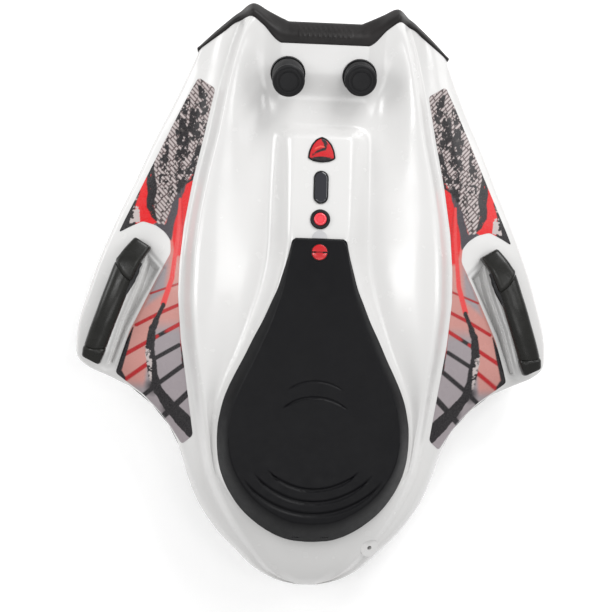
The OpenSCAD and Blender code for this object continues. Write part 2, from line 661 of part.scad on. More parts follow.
module lid_seal() {
  sections = [for (p = seal_path) let(z = lid_base(p.y) + 0.3, k = 1 - 4 / lid_o(p.y), m = 1 - 4 / 185)
    [[p.x * kx, p.y * ky, z], [p.x * kx, p.y * ky, z + 2.7],
     [p.x * k * kx, (-135 + (p.y + 135) * m) * ky, z + 2.7], [p.x * k * kx, (-135 + (p.y + 135) * m) * ky, z]]];
  color("black") band(sections, closed = true);
}
module lid_lock() {
  color("red") translate([0, lock_y * ky, lock_z - 2.2]) difference() {
    union() {
      cylinder(r = lock_radius, h = 3);
      translate([0, 0, 3]) cylinder(r1 = lock_radius, r2 = lock_radius - 1.5, h = 1);
      translate([0, 0, -22]) cylinder(r = 5, h = 23);
    }
    translate([-20, -1.6, 2]) cube([40, 3.2, 4]);
  }
}
module lock_socket() {
  color("silver") translate([0, lock_y * ky, 156]) difference() {
    cylinder(r = 11, h = 20);
    translate([0, 0, 3]) cylinder(r = 7.8, h = 20);
  }
}

// ---- battery bay ------------------------------------------------------------------------------
keel_floor = 14 + wall;
tray_floor = keel_floor + 0.3;
tray_wall = 3;
tray_half = battery_width / 2 + 0.5;
tray_rear = -320;
module battery_tray() {
  color([0.2, 0.2, 0.2]) difference() {
    translate([-tray_half - tray_wall, tray_rear * ky, tray_floor])
      cube([2 * (tray_half + tray_wall), 254 * ky, 126]);
    translate([-tray_half, tray_rear * ky + tray_wall, tray_floor + tray_wall])
      cube([2 * tray_half, 254 * ky - 2 * tray_wall, 140]);
  }
}
pack_rear = tray_rear * ky + tray_wall + 0.5;
pack_floor = tray_floor + tray_wall + 0.2;
module battery_pack() {
  color([0.15, 0.15, 0.17]) union() {
    translate([-battery_width / 2, pack_rear, pack_floor]) cube([battery_width, battery_length, battery_height]);
    translate([-battery_width / 2 + 6, pack_rear + 6, pack_floor + battery_height])
      cube([battery_width - 12, battery_length - 12, 3]);
  }
}
module battery_handle() {
  w = battery_width - 38;
  color([0.1, 0.1, 0.1]) translate([0, pack_rear + battery_length / 2, pack_floor + battery_height + 3])
    union() {
      for (x = [-1, 1]) translate([x * w / 2 - 6, -9, 0]) cube([12, 18, 22]);
      translate([-w / 2, 0, 24]) rotate([0, 90, 0]) cylinder(r = 7, h = w);
    }
}
module bay_connector() {
  color("orange") translate([-20, pack_rear + battery_length + 0.2, pack_floor + 6])
    cube([40, 250.4 * ky - battery_length - 3.1, 30]);
}
module left_controller() {
  controller(-1);
}
module right_controller() {
  controller(1);
}
cable_z = 91.6;
cable_radius = 3;
module controller(side) {
  color("silver") translate([side * thruster_x * kx - 32, 18 * ky, keel_floor + 0.3]) union() {
    cube([64, 84, 24]);
    for (i = [0:6]) translate([4 + i * 9, 4, 24]) cube([3, 76, 5]);
  }
}
module phase_cables() {
  color([0.9, 0.5, 0.1]) for (side = [-1, 1]) union() {
    translate([side * thruster_x * kx + 0.5, 28 * ky, keel_floor + 29.6]) cylinder(r = cable_radius,
      h = cable_z - keel_floor - 29.6);
    translate([side * thruster_x * kx + 0.5, 28 * ky, cable_z]) sphere(r = cable_radius);
    translate([side * thruster_x * kx + 0.5, duct_front * ky + 5.5, cable_z]) rotate([-90, 0, 0])
      cylinder(r = cable_radius, h = (28 - duct_front) * ky - 5.5);
  }
}

// ---- thrusters --------------------------------------------------------------------------------
duct_front = -80;
hub_radius = 19;
motor_radius = 17;
motor_length = 64;
module at_thruster(side) {
  translate([side * thruster_x * kx, duct_front * ky, thruster_z]) rotate([90, 0, 0]) children();
}
module duct(side) {
  color([0.15, 0.15, 0.15]) at_thruster(side) union() {
    ring(duct_radius + duct_wall, duct_radius, duct_length);
    translate([0, 0, 16]) ring(hub_radius, motor_radius + 0.02, motor_length + 3);
    for (a = [0, 90, 180, 270]) rotate([0, 0, a]) translate([hub_radius - 0.6, -1.5, 22])
      cube([duct_radius - hub_radius + 1.4, 3, 50]);
    translate([-9, duct_radius + duct_wall - 1.2, 4]) cube([18, tunnel_roof - thruster_z - duct_radius - duct_wall + 1,
      90]);
  }
}
module left_duct() {
  duct(-1);
}
module right_duct() {
  duct(1);
}
bearing_radius = 9;
bearing_length = 6;
module motor(side) {
  color("silver") at_thruster(side) translate([0, 0, 17]) difference() {
    union() {
      cylinder(r = motor_radius, h = motor_length);
      translate([0, 0, -12]) cylinder(r1 = 5, r2 = motor_radius, h = 12);
    }
    translate([0, 0, 3]) cylinder(r = shaft_radius + 1, h = motor_length);
    translate([0, 0, 3]) cylinder(r = bearing_radius, h = bearing_length);
    translate([0, 0, motor_length - bearing_length]) cylinder(r = bearing_radius, h = bearing_length + 2);
  }
}
module left_motor() {
  motor(-1);
}
module right_motor() {
  motor(1);
}
module bearings(side) {
  color("silver") at_thruster(side) translate([0, 0, 17]) union() {
    translate([0, 0, 3]) ring(bearing_radius, shaft_radius + fit, bearing_length);
    translate([0, 0, motor_length - bearing_length]) ring(bearing_radius, shaft_radius + fit, bearing_length);
  }
}
module motor_bearings() {
  bearings(-1);
  bearings(1);
}
module shaft(side) {
  color("silver") at_thruster(side) translate([0, 0, 21]) cylinder(r = shaft_radius, h = 102);
}
module left_shaft() {
  shaft(-1);
}
module right_shaft() {
  shaft(1);
}
prop_hub = 14;
blade_count = 4;
module propeller(side) {
  color([0.2, 0.2, 0.2]) at_thruster(side) translate([0, 0, 84]) difference() {
    union() {
      cylinder(r = prop_hub, h = 28);
      for (i = [0:blade_count - 1]) rotate([0, 0, i * 360 / blade_count]) intersection() {
        translate([prop_hub - 1, 0, 14]) rotate([side * 38, 0, 0]) translate([0, -15, -1.3])
          cube([duct_radius, 30, 2.6]);
        cylinder(r = duct_radius - tip_gap, h = 28);
      }
    }
    translate([0, 0, -1]) cylinder(r = shaft_radius, h = 40);
  }
}
module left_propeller() {
  propeller(-1);
}
module right_propeller() {
  propeller(1);
}
module prop_nut(side) {
  color("gold") at_thruster(side) translate([0, 0, 112]) difference() {
    union() {
      cylinder(r = 8, h = 9, $fn = 6);
      translate([0, 0, 9]) cylinder(r1 = 6.8, r2 = 4, h = 5);
    }
    translate([0, 0, -1]) cylinder(r = shaft_radius, h = 12);
  }
}
module left_prop_nut() {
  prop_nut(-1);
}
module right_prop_nut() {
  prop_nut(1);
}
module grille(side) {
  color([0.15, 0.15, 0.15]) at_thruster(side) translate([0, 0, -5.2]) union() {
    ring(duct_radius + duct_wall, duct_radius - 1.5, 5);
    for (i = [-2:2]) translate([i * 11 - 1.2, -sqrt(pow(duct_radius, 2) - pow(i * 11 + 1.2 * sign(i), 2)), 1])
      cube([2.4, 2 * sqrt(pow(duct_radius, 2) - pow(i * 11 + 1.2 * sign(i), 2)), 3]);
  }
}
module left_grille() {
  grille(-1);
}
module right_grille() {
  grille(1);
}

// ---- keel and tail ----------------------------------------------------------------------------
skid_x = 38;
module keel_skids() {
  color([0.1, 0.1, 0.1]) for (side = [-1, 1]) translate([side * skid_x * kx, 100 * ky, 13.8])
    rotate([90, 0, 0]) linear_extrude(400 * ky)
      polygon([[-14, 0], [14, 0], [11, -skid_height + 3], [8, 0.2 - skid_height], [-8, 0.2 - skid_height],
        [-11, -skid_height + 3]]);
}
module tail_insert() {
  color("white") at_insert() difference() {
    translate([0, 0, -14]) cylinder(r = insert_radius, h = 16);
    translate([0, 0, -12]) cylinder(r = insert_bore, h = 20);
  }
}

deck_shell();
hull_shell();
front_bumper();
perimeter_gasket();
left_decal();
right_decal();
badge();
display_bezel();
display_lens();
display_board();
button_bezel();
button_cap();
button_switch();
button_spring();
battery_lid();
lid_seal();
lid_hinge_pin();
lid_hinge_brackets();
lid_lock();
lock_socket();
battery_tray();
battery_pack();
battery_handle();
bay_connector();
left_controller();
right_controller();
left_duct();
right_duct();
left_motor();
right_motor();
left_shaft();
right_shaft();
left_propeller();
right_propeller();
left_prop_nut();
right_prop_nut();
motor_bearings();
left_grille();
right_grille();
pod_cups();
left_grip();
right_grip();
left_trigger();
right_trigger();
trigger_pins();
left_trigger_spring();
right_trigger_spring();
left_plug();
right_plug();
left_well();
right_well();
tail_insert();
keel_skids();
shell_screws();
grip_screws();
bumper_screws();
phase_cables();
finger_notch();
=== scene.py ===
import math

import bmesh
import bpy
import numpy as np
from mathutils import Matrix, Vector


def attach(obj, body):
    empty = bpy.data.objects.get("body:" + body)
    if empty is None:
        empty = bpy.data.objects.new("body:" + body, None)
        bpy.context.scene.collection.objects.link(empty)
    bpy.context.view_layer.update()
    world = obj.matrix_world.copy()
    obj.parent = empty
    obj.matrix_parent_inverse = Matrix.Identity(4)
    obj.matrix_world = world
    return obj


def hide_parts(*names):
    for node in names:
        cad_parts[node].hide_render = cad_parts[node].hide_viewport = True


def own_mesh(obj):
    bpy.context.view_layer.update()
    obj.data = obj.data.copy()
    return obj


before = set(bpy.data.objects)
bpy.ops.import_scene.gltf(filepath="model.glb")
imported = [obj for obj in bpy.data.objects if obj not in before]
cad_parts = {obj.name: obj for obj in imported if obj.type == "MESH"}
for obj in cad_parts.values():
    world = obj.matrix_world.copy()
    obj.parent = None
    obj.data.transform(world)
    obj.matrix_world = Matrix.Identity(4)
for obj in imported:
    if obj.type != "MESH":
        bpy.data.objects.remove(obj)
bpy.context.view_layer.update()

MM = 0.001
TAIL_Y, NOSE_Y = -445, 384
SIDES = (("left", -1), ("right", 1))

# ---- curves through a few points ----


def smooth_table(points):
    """A smooth curve through (position, value) points that never overshoots between them."""
    x, y = np.array(points, float).T
    h = np.diff(x)
    slope = np.diff(y) / h
    m = np.zeros_like(y)
    m[0], m[-1] = slope[0], slope[-1]
    same = slope[:-1] * slope[1:] > 0
    w1, w2 = 2 * h[1:] + h[:-1], h[1:] + 2 * h[:-1]
    with np.errstate(divide="ignore", invalid="ignore"):
        mean = (w1 + w2) / (w1 / slope[:-1] + w2 / slope[1:])
    m[1:-1] = np.where(same, mean, 0.0)

    def value(at):
        at = np.clip(np.asarray(at, float), x[0], x[-1])
        i = np.clip(np.searchsorted(x, at, side="right") - 1, 0, len(h) - 1)
        t = (at - x[i]) / h[i]
        return (
            (1 + 2 * t) * (1 - t) ** 2 * y[i]
            + t * (1 - t) ** 2 * h[i] * m[i]
            + t * t * (3 - 2 * t) * y[i + 1]
            + t * t * (t - 1) * h[i] * m[i + 1]
        )

    return value


def ease(t):
    k = np.clip(t, 0, 1)
    return k * k * (3 - 2 * k)


# ---- the board's shape, in millimetres ----
# Tables run from the tail (negative) to the nose (positive).

outline_w = smooth_table([
    (-445, 20), (-441, 42), (-434, 60), (-418, 86), (-395, 110), (-360, 144), (-310, 177), (-270, 193),
    (-232, 205), (-200, 222), (-168, 250), (-142, 284), (-128, 315), (-112, 352), (-100, 365.5),
    (-88, 369.6), (-70, 369.5), (20, 348), (110, 314), (180, 282), (240, 256), (300, 228), (350, 206),
    (384, 191)])
crease_w = smooth_table([
    (-445, 16), (-436, 44), (-418, 70), (-395, 91), (-360, 120), (-310, 150), (-270, 167), (-213, 179),
    (-130, 191.5), (-64, 202), (3, 208), (52, 207), (108, 202), (180, 190), (247, 175), (305, 162),
    (353, 146), (384, 131)])
platform_w = smooth_table([
    (-445, 4), (-418, 16), (-360, 30), (-345, 42), (-335, 66), (-315, 98), (-299, 112), (-257, 134),
    (-212, 140), (-174, 137), (-136, 126), (-88, 103), (-32, 77), (18, 56), (63, 44), (90, 41), (384, 41)])
flank_w = smooth_table([
    (-445, 4), (-418, 10), (-345, 14), (-208, 14), (-84, 20), (50, 36), (90, 39), (384, 39)])
crease_z = smooth_table([
    (-445, 93), (-436, 98), (-418, 107), (-395, 116), (-360, 121), (-310, 123), (-213, 125), (-130, 127),
    (0, 129), (108, 131), (247, 137), (300, 143), (350, 152), (384, 160)])
crest_z = smooth_table([
    (-445, 96), (-436, 104), (-418, 115), (-395, 125), (-360, 134), (-310, 140), (-213, 146), (-130, 150),
    (0, 154), (108, 156), (247, 161), (300, 167), (350, 177), (384, 184)])
bowl_z = smooth_table([
    (-445, 97), (-436, 108), (-418, 121), (-395, 132), (-370, 139), (-300, 142), (-208, 143), (200, 141),
    (270, 142), (300, 146), (345, 165), (384, 179)])
edge_z = smooth_table([
    (-445, 90), (-436, 92), (-395, 98), (-360, 101), (-310, 104), (-232, 107), (-200, 106), (-168, 104),
    (-142, 100), (-112, 94), (-60, 95), (20, 100), (110, 106), (240, 118), (300, 126), (350, 136),
    (384, 146)])
platform_z = smooth_table([
    (-368, 150), (-300, 154), (-208, 160), (-84, 167), (0, 173), (60, 176.5), (96, 178.5), (146, 176),
    (200, 171.5), (246, 166), (270, 162)])
keel_z = smooth_table([
    (-445, 70), (-436, 60), (-418, 46), (-395, 34), (-360, 22), (-328, 14), (110, 14), (240, 20), (300, 30),
    (350, 50), (384, 74)])
nose_line = smooth_table([
    (0, 384), (66, 384), (72, 387), (95, 410), (116, 422), (135, 416), (150, 404), (191, 375)])
bumper_line = smooth_table([
    (0, 421), (54, 421), (62, 424), (88, 436), (109, 444.5), (117, 443), (130, 435), (150, 418.5),
    (193, 379.5)])


def platform_amount(y):
    return np.where(y > 200, ease((270 - y) / 24), ease((y + 352) / 16))


def column_ends(y):
    """Half-widths at row y of the columns 1 to 5: platform, flank, bowl, crease and outline."""
    e = platform_w(y)
    b = e + flank_w(y)
    c = crease_w(y)
    return e, b, np.maximum(b + 2, c - np.minimum(22, c * 0.2)), c, outline_w(y)


def column_x(q, y):
    """Half-width reached by column number q at row y."""
    e, b, r, c, w = column_ends(y)
    return np.select(
        [q <= 1, q <= 2, q <= 3, q <= 4],
        [q * e, e + (q - 1) * (b - e), b + (q - 2) * (r - b), r + (q - 3) * (c - r)],
        c + (q - 4) * (w - c))


def deck_z(q, y):
    crease, crest, bowl = crease_z(y), crest_z(y), bowl_z(y)
    inner = crest + (bowl - crest) * ease(3 - q)
    wall = crest + (crease - crest) * ease(q - 3)
    wing = crease + (edge_z(y) - crease) * (q - 4) + 4 * np.sin(np.pi * np.clip(q - 4, 0, 1))
    base = np.where(q > 4, wing, np.where(q > 3, wall, inner))
    lift = np.maximum(0, platform_z(y) - bowl) * ease(2 - q) * platform_amount(y)
    return base + lift


def column_of(x, y):
    """Column number of a half-width at a row, the inverse of column_x."""
    e, b, r, c, w = column_ends(y)
    return np.select(
        [x <= e, x <= b, x <= r, x <= c],
        [x / e, 1 + (x - e) / (b - e), 2 + (x - b) / (r - b), 3 + (x - r) / (c - r)],
        4 + (x - c) / (w - c))


def nose_warp(x, y):
    return y + (nose_line(np.abs(x)) - NOSE_Y) * ease((y - 200) / 184)


def parting_z(y):
    return edge_z(y) - 9


def hull_z(q, y):
    keel = keel_z(y)
    under = edge_z(y) - 30
    chine = np.minimum(under - 1, np.maximum(keel + 4, 64))
    return np.where(q > 4, chine + (under - chine) * (q - 4), keel + (chine - keel) * ease(q - 3))


def polygon_distance(x, y, corners):
    """Distance to a closed outline, negative inside."""
    px, py = np.asarray(x, float), np.asarray(y, float)
    best = np.full(px.shape, 1e9)
    inside = np.zeros(px.shape, bool)
    for (ax, ay), (bx, by) in zip(corners, corners[1:] + corners[:1]):
        dx, dy = bx - ax, by - ay
        t = np.clip(((px - ax) * dx + (py - ay) * dy) / (dx * dx + dy * dy), 0, 1)
        best = np.minimum(best, np.hypot(px - ax - t * dx, py - ay - t * dy))
        inside ^= ((ay > py) != (by > py)) & (px < dx * (py - ay) / (dy + 1e-12) + ax)
    return np.where(inside, -best, best)


# ---- mesh helpers ----


def new_mesh(name, verts, faces, smooth=True):
    mesh = bpy.data.meshes.new(name)
    mesh.from_pydata([tuple(v) for v in verts], [], [tuple(f) for f in faces])
    mesh.validate()
    if smooth:
        mesh.polygons.foreach_set("use_smooth", [True] * len(mesh.polygons))
    mesh.update()
    obj = bpy.data.objects.new(name, mesh)
    bpy.context.scene.collection.objects.link(obj)
    return obj


def at_height(points, z):
    """Corners in metres for plan points and a height in millimetres."""
    return [(x * MM, y * MM, z * MM) for x, y in points]


def end_caps(rows, n):
    """Faces over the first and the last of a number of rings with n corners each."""
    return [tuple(range(n)), tuple(range((rows - 1) * n, rows * n))]


def grid_faces(nr, nc, start=0, flip=False, wrap=False):
    cols = nc if wrap else nc - 1
    out = []
    for i in range(nr - 1):
        for j in range(cols):
            k = (j + 1) % nc
            f = (start + i * nc + j, start + i * nc + k, start + (i + 1) * nc + k, start + (i + 1) * nc + j)
            out.append(f[::-1] if flip else f)
    return out


def sheet_solid(name, top, bottom):
    """Closed solid between two grids of points, in millimetres."""
    nr, nc = top.shape[:2]
    m = nr * nc
    verts = np.concatenate([top.reshape(-1, 3), bottom.reshape(-1, 3)]) * MM
    faces = grid_faces(nr, nc) + grid_faces(nr, nc, m, flip=True)
    for j in range(nc - 1):
        faces.append((j, m + j, m + j + 1, j + 1))
        a = (nr - 1) * nc
        faces.append((a + j, a + j + 1, m + a + j + 1, m + a + j))
    for i in range(nr - 1):
        a, b = i * nc, (i + 1) * nc
        faces.append((a, b, m + b, m + a))
        c, d = a + nc - 1, b + nc - 1
        faces.append((c, d, m + d, m + c))
    return sealed(new_mesh(name, verts, faces))


def sealed(obj, join=1e-6, dissolve=1e-7):
    """Joins corners closer than join, drops thinner edges and turns every face outwards."""
    bm = bmesh.new()
    bm.from_mesh(obj.data)
    if join:
        bmesh.ops.remove_doubles(bm, verts=bm.verts, dist=join)
    if dissolve:
        bmesh.ops.dissolve_degenerate(bm, edges=bm.edges, dist=dissolve)
    bmesh.ops.recalc_face_normals(bm, faces=bm.faces)
    bm.to_mesh(obj.data)
    bm.free()
    return obj


def lathe(name, profile, segments=96):
    """Solid of revolution about Z from (radius, height) points in millimetres."""
    verts, faces = [], []
    for r, z in profile:
        for i in range(segments):
            a = 2 * math.pi * i / segments
            verts.append((r * math.cos(a) * MM, r * math.sin(a) * MM, z * MM))
    return sealed(new_mesh(name, verts, grid_faces(len(profile), segments, wrap=True)), 1e-7, 0)


def cut(obj, cutters, how="DIFFERENCE"):
    """Takes the cutters, which are used up, out of obj, or combines them with it in another way."""
    for c in cutters:
        mod = obj.modifiers.new("cut", "BOOLEAN")
        mod.operation, mod.solver, mod.object = how, "MANIFOLD", c
    graph = bpy.context.evaluated_depsgraph_get()
    mesh = bpy.data.meshes.new_from_object(obj.evaluated_get(graph))
    obj.modifiers.clear()
    obj.data = mesh
    for c in cutters:
        bpy.data.objects.remove(c)


def autosmooth(obj, angle):
    """Smooth shading with hard edges above an angle, kept in the mesh."""
    bm = bmesh.new()
    bm.from_mesh(obj.data)
    limit = math.radians(angle)
    for e in bm.edges:
        e.smooth = len(e.link_faces) == 2 and e.calc_face_angle(0) < limit
    for f in bm.faces:
        f.smooth = True
    bm.to_mesh(obj.data)
    bm.free()
    return obj


def prism(corners, z0, z1):
    """Upright block for cutting, over plan corners between two heights."""
    n = len(corners)
    faces = [tuple(range(n))[::-1], tuple(range(n, 2 * n))]
    faces += [(i, (i + 1) % n, n + (i + 1) % n, n + i) for i in range(n)]
    verts = at_height(corners, z0) + at_height(corners, z1)
    return sealed(new_mesh("cutter", verts, faces, smooth=False), 0, 0)


# ---- deck ----

RECESS = [
    (-262, 66), (-240, 42), (-262, 0), (-287, -50), (-309, -108), (-322, -112), (-300, -40), (-278, 14)]
RECESS_FLOOR = 86
RECESS_RIM = 9
SHELF_DEPTH, SHELF_WIDTH = 2.2, 7
EDGE_RADIUS = 6.0
DECK_WALL, HULL_WALL = 4.0, 4.5
PARTING_GAP = 1.2


def spans(*parts):
    """Numbers over adjoining (from, to, count) spans, with no shared end said twice."""
    runs = [np.linspace(*part) for part in parts]
    return np.concatenate([run[:-1] for run in runs[:-1]] + runs[-1:])


def mirrored(half):
    """Numbers from zero up, with their negatives in front."""
    return np.concatenate([-half[:0:-1], half])


def rows_between(marks, step, fine, fine_share=0.5):
    """Row positions from the first mark to the last, closer together where fine(y) is true."""
    y, out = marks[0], []
    while y < marks[1]:
        out.append(y)
        y += step * (fine_share if fine(y) else 1)
    return np.array(out + [marks[1]])


def deck_surface(x, y_row, q):
    z = deck_z(q, y_row)
    d = polygon_distance(-np.abs(x), y_row, RECESS)
    near = d < 40
    floor = np.minimum(z, RECESS_FLOOR + 0.12 * np.clip(y_row + 110, 0, 200))
    z = np.where(near, z - (z - floor) * ease(-(d + 0.5) / RECESS_RIM), z)
    # one shallow shelf that runs round the recess
    z = np.where(near, z - SHELF_DEPTH * ease((RECESS_RIM - d) / SHELF_WIDTH), z)
    # rounded outer edge
    edge = np.clip((EDGE_RADIUS - (outline_w(y_row) - np.abs(x))) / EDGE_RADIUS, 0, 1)
    return z - EDGE_RADIUS * (1 - np.sqrt(1 - edge**2))


q_all = mirrored(spans((0, 1, 11), (1, 2, 15), (2, 3, 15), (3, 4, 15), (4, 4.94, 96), (4.94, 5, 8)))
y_rows = rows_between((TAIL_Y, NOSE_Y), 4.0, lambda y: -122 < y < 78, 0.34)


def shell_grid(q_cols, y_list, height, inset=0.0):
    """Grid of surface points, drawn in from the outline by an inset."""
    q, y = np.meshgrid(q_cols, y_list)
    x = np.sign(q) * column_x(np.abs(q), y)
    k = 1 - inset / np.maximum(outline_w(y), inset * 3) if inset else 1.0
    m = 1 - inset / 436
    z = height(x, y, np.abs(q))
    return np.stack([x * k, nose_warp(x, y) * m, z], axis=-1)


def with_rim(grid, rim_height, y_list):
    """Adds a ring round a grid that drops straight to the parting height."""
    z_edge = rim_height(y_list)
    left, right = grid[:, :1].copy(), grid[:, -1:].copy()
    left[:, 0, 2], right[:, 0, 2] = z_edge, z_edge
    g = np.concatenate([left, grid, right], axis=1)
    first, last = g[:1].copy(), g[-1:].copy()
    first[..., 2], last[..., 2] = z_edge[0], z_edge[-1]
    return np.concatenate([first, g, last], axis=0)


def build_deck():
    def inner(x, y, q):
        return np.maximum(parting_z(y) + 2 * PARTING_GAP, deck_surface(x, y, q) - DECK_WALL)

    top = shell_grid(q_all, y_rows, deck_surface)
    low = shell_grid(q_all, y_rows, inner, DECK_WALL)
    rim = lambda y: parting_z(y) + PARTING_GAP
    return sheet_solid("deck", with_rim(top, rim, y_rows), with_rim(low, rim, y_rows))


deck = build_deck()


def moved(x, y, z):
    return Matrix.Translation(Vector((x, y, z)) * MM)


def turned(degrees, axis):
    return Matrix.Rotation(math.radians(degrees), 4, axis)


def well_matrix(side):
    return moved(side * 54.5, 341, 163.5) @ turned(25, "X")


def console_matrix(y):
    slope = math.atan(float(platform_z(y + 3) - platform_z(y - 3)) / 6)
    return moved(0, y, float(platform_z(y))) @ Matrix.Rotation(slope, 4, "X")


BADGE_Y, DISPLAY_Y, BUTTON_Y = 227, 169.5, 121
LOCK = moved(0, 71, 0)
INSERT = moved(94, -380, 123) @ (turned(18, "Y") @ turned(14, "X"))


def placed(obj, matrix):
    obj.data.transform(matrix)
    return obj


def cylinder_cut(radius, low, high, matrix):
    return placed(lathe("cutter", [(0, low), (radius, low), (radius, high), (0, high)], 64), matrix)


def stadium_points(width, length, n=14):
    r, s = width / 2, (length - width) / 2
    half = [(r * math.cos(math.pi * i / n), s + r * math.sin(math.pi * i / n)) for i in range(n + 1)]
    return half + [(-x, -y) for x, y in half]


def ring_solid(name, outline, profile):
    """Closed solid whose sections are the outline moved inwards: profile is (inset, height) pairs."""
    pts = np.array(outline, float)
    verts = []
    for inset, z in profile:
        verts += at_height(inset_loop(pts, inset), z)
    first, last = end_caps(len(profile), len(pts))
    faces = grid_faces(len(profile), len(pts), wrap=True) + [first[::-1], last]
    return autosmooth(sealed(new_mesh(name, verts, faces), 0, 0), 40)


def inset_loop(pts, inset):
    """Moves a closed anticlockwise outline inwards along its corner normals."""
    before, after = np.roll(pts, 1, 0), np.roll(pts, -1, 0)
    tangent = after - before
    tangent /= np.maximum(np.linalg.norm(tangent, axis=1, keepdims=True), 1e-9)
    normal = np.stack([-tangent[:, 1], tangent[:, 0]], 1)
    return pts + normal * inset


def dome_solid(name, loop, middle, steps):
    """Low dome over an outline: steps are (scale about the middle, height) pairs from the bottom up."""
    middle = np.array(middle, float)
    verts = []
    for scale, z in steps:
        verts += at_height(middle + (loop - middle) * scale, z)
    faces = grid_faces(len(steps), len(loop), wrap=True) + end_caps(len(steps), len(loop))
    return autosmooth(sealed(new_mesh(name, verts, faces)), 40)


def hull_block(name, inner_height):
    """The hull's outer skin, closed by an inner surface of the given height."""
    q_full = mirrored(spans((0, 3, 13), (3, 4, 9), (4, 5, 9)))
    ys = rows_between((TAIL_Y, NOSE_Y), 9.0, lambda y: y < -300 or y > 240)
    rim = lambda y: parting_z(y) - PARTING_GAP
    out = shell_grid(q_full, ys, lambda x, y, q: hull_z(q, y))
    low = shell_grid(q_full, ys, inner_height, HULL_WALL)
    return sheet_solid(name, with_rim(low, rim, ys), with_rim(out, rim, ys))


def hull_inside(x, y, q):
    return np.minimum(parting_z(y) - 2 * PARTING_GAP, hull_z(q, y) + HULL_WALL)


def hull_filled(x, y, q):
    return np.where(q > 4.2, parting_z(y) - 2 * PARTING_GAP, 110.0)


hull = hull_block("hull", hull_inside)
THRUSTER_X, TUNNEL_HALF = 112, 42
TUNNEL_ROOF, OUTLET_ROOF, TUNNEL_WALL = 96, 64, 3


def box_points(x0, x1, y0, y1):
    return [(x0, y0), (x1, y0), (x1, y1), (x0, y1)]


def tunnel_boxes(grow):
    """A tall box round each thruster and a lower one behind it, for the jet."""
    for cx in (-THRUSTER_X, THRUSTER_X):
        x0, x1 = cx - TUNNEL_HALF - grow, cx + TUNNEL_HALF + grow
        yield prism(box_points(x0, x1, -330 - grow, -40 + grow), -10, TUNNEL_ROOF + grow)
        yield prism(box_points(x0, x1, -432, -322), -10, OUTLET_ROOF + grow)


for wall_box in tunnel_boxes(TUNNEL_WALL):
    cut(wall_box, [hull_block("filled", hull_filled)], "INTERSECT")
    cut(hull, [wall_box], "UNION")
cut(hull, list(tunnel_boxes(0)))
cut(deck, [
    *[cylinder_cut(26.5, -60, 40, well_matrix(s)) for s in (-1, 1)],
    prism(box_points(-66, 66, -324, -62), 120, 200),
    placed(prism(stadium_points(18.4, 46.4), -20, 20), console_matrix(DISPLAY_Y)),
    cylinder_cut(12.9, -20, 20, console_matrix(BUTTON_Y)),
    cylinder_cut(11.3, 140, 200, LOCK),
    cylinder_cut(14.7, -20, 20, INSERT)])
autosmooth(deck, 38)


# ---- materials ----


class Shader:
    """A Principled material with helpers that wire in procedural detail."""

    def __init__(self, name, color, rough, metallic=0.0, coat=0.0, coat_rough=0.05):
        self.mat = bpy.data.materials.new(name)
        self.mat.use_nodes = True
        self.tree = self.mat.node_tree
        self.bsdf = self.tree.nodes["Principled BSDF"]
        self.color = color
        for socket, value in (
                ("Base Color", (*color, 1)), ("Roughness", rough), ("Metallic", metallic),
                ("Coat Weight", coat), ("Coat Roughness", coat_rough), ("IOR", 1.5)):
            self.set(socket, value)
        self.mat.diffuse_color = (*color, 1)
        self.place = self.node("ShaderNodeTexCoord").outputs["Object"]
        self.height = None

    def set(self, socket, value):
        self.bsdf.inputs[socket].default_value = value

    def node(self, kind, inputs=(), **values):
        n = self.tree.nodes.new(kind)
        for key, value in values.items():
            setattr(n, key, value)
        for socket, value in dict(inputs).items():
            n.inputs[socket].default_value = value
        return n

    def link(self, a, b):
        self.tree.links.new(a, b)

    def noise(self, size, detail=3.0, rough=0.5, stretch=None):
        """Noise whose blotches are about size metres across."""
        at = self.place
        if stretch:
            scale = self.node("ShaderNodeMapping", {"Scale": stretch})
            self.link(at, scale.inputs["Vector"])
            at = scale.outputs["Vector"]
        n = self.node("ShaderNodeTexNoise", {"Scale": 1 / size, "Detail": detail, "Roughness": rough})
        self.link(at, n.inputs["Vector"])
        return n.outputs["Fac"]

    def cells(self, size):
        n = self.node("ShaderNodeTexVoronoi", {"Scale": 1 / size})
        self.link(self.place, n.inputs["Vector"])
        return n.outputs["Distance"]

    def spread(self, fac, low, high):
        """Stretches the middle of a noise to the range from low to high."""
        limits = {"From Min": 0.3, "From Max": 0.7, "To Min": low, "To Max": high}
        r = self.node("ShaderNodeMapRange", limits)
        self.link(fac, r.inputs["Value"])
        return r.outputs["Result"]

    def vary_rough(self, fac, low, high):
        self.link(self.spread(fac, low, high), self.bsdf.inputs["Roughness"])
        return self

    def vary_color(self, fac, other, amount=1.0, base=None):
        mix = self.node("ShaderNodeMix", {6: (*self.color, 1), 7: (*other, 1)}, data_type="RGBA")
        if base is not None:
            self.link(base, mix.inputs[6])
        self.link(self.spread(fac, 0.0, amount), mix.inputs[0])
        self.link(mix.outputs[2], self.bsdf.inputs["Base Color"])
        return self

    def bump(self, fac, distance):
        b = self.node("ShaderNodeBump", {"Distance": distance})
        self.link(fac, b.inputs["Height"])
        if self.height is not None:
            self.link(self.height, b.inputs["Normal"])
        self.height = b.outputs["Normal"]
        self.link(self.height, self.bsdf.inputs["Normal"])
        return self


def gloss_shader(name, color, other):
    s = Shader(name, color, 0.26, coat=0.45, coat_rough=0.11)
    s.vary_color(s.noise(0.09, 4), other, 0.4)
    s.vary_rough(s.noise(0.02, 4), 0.22, 0.28)
    s.bump(s.noise(0.006, 2), 0.000012)
    return s


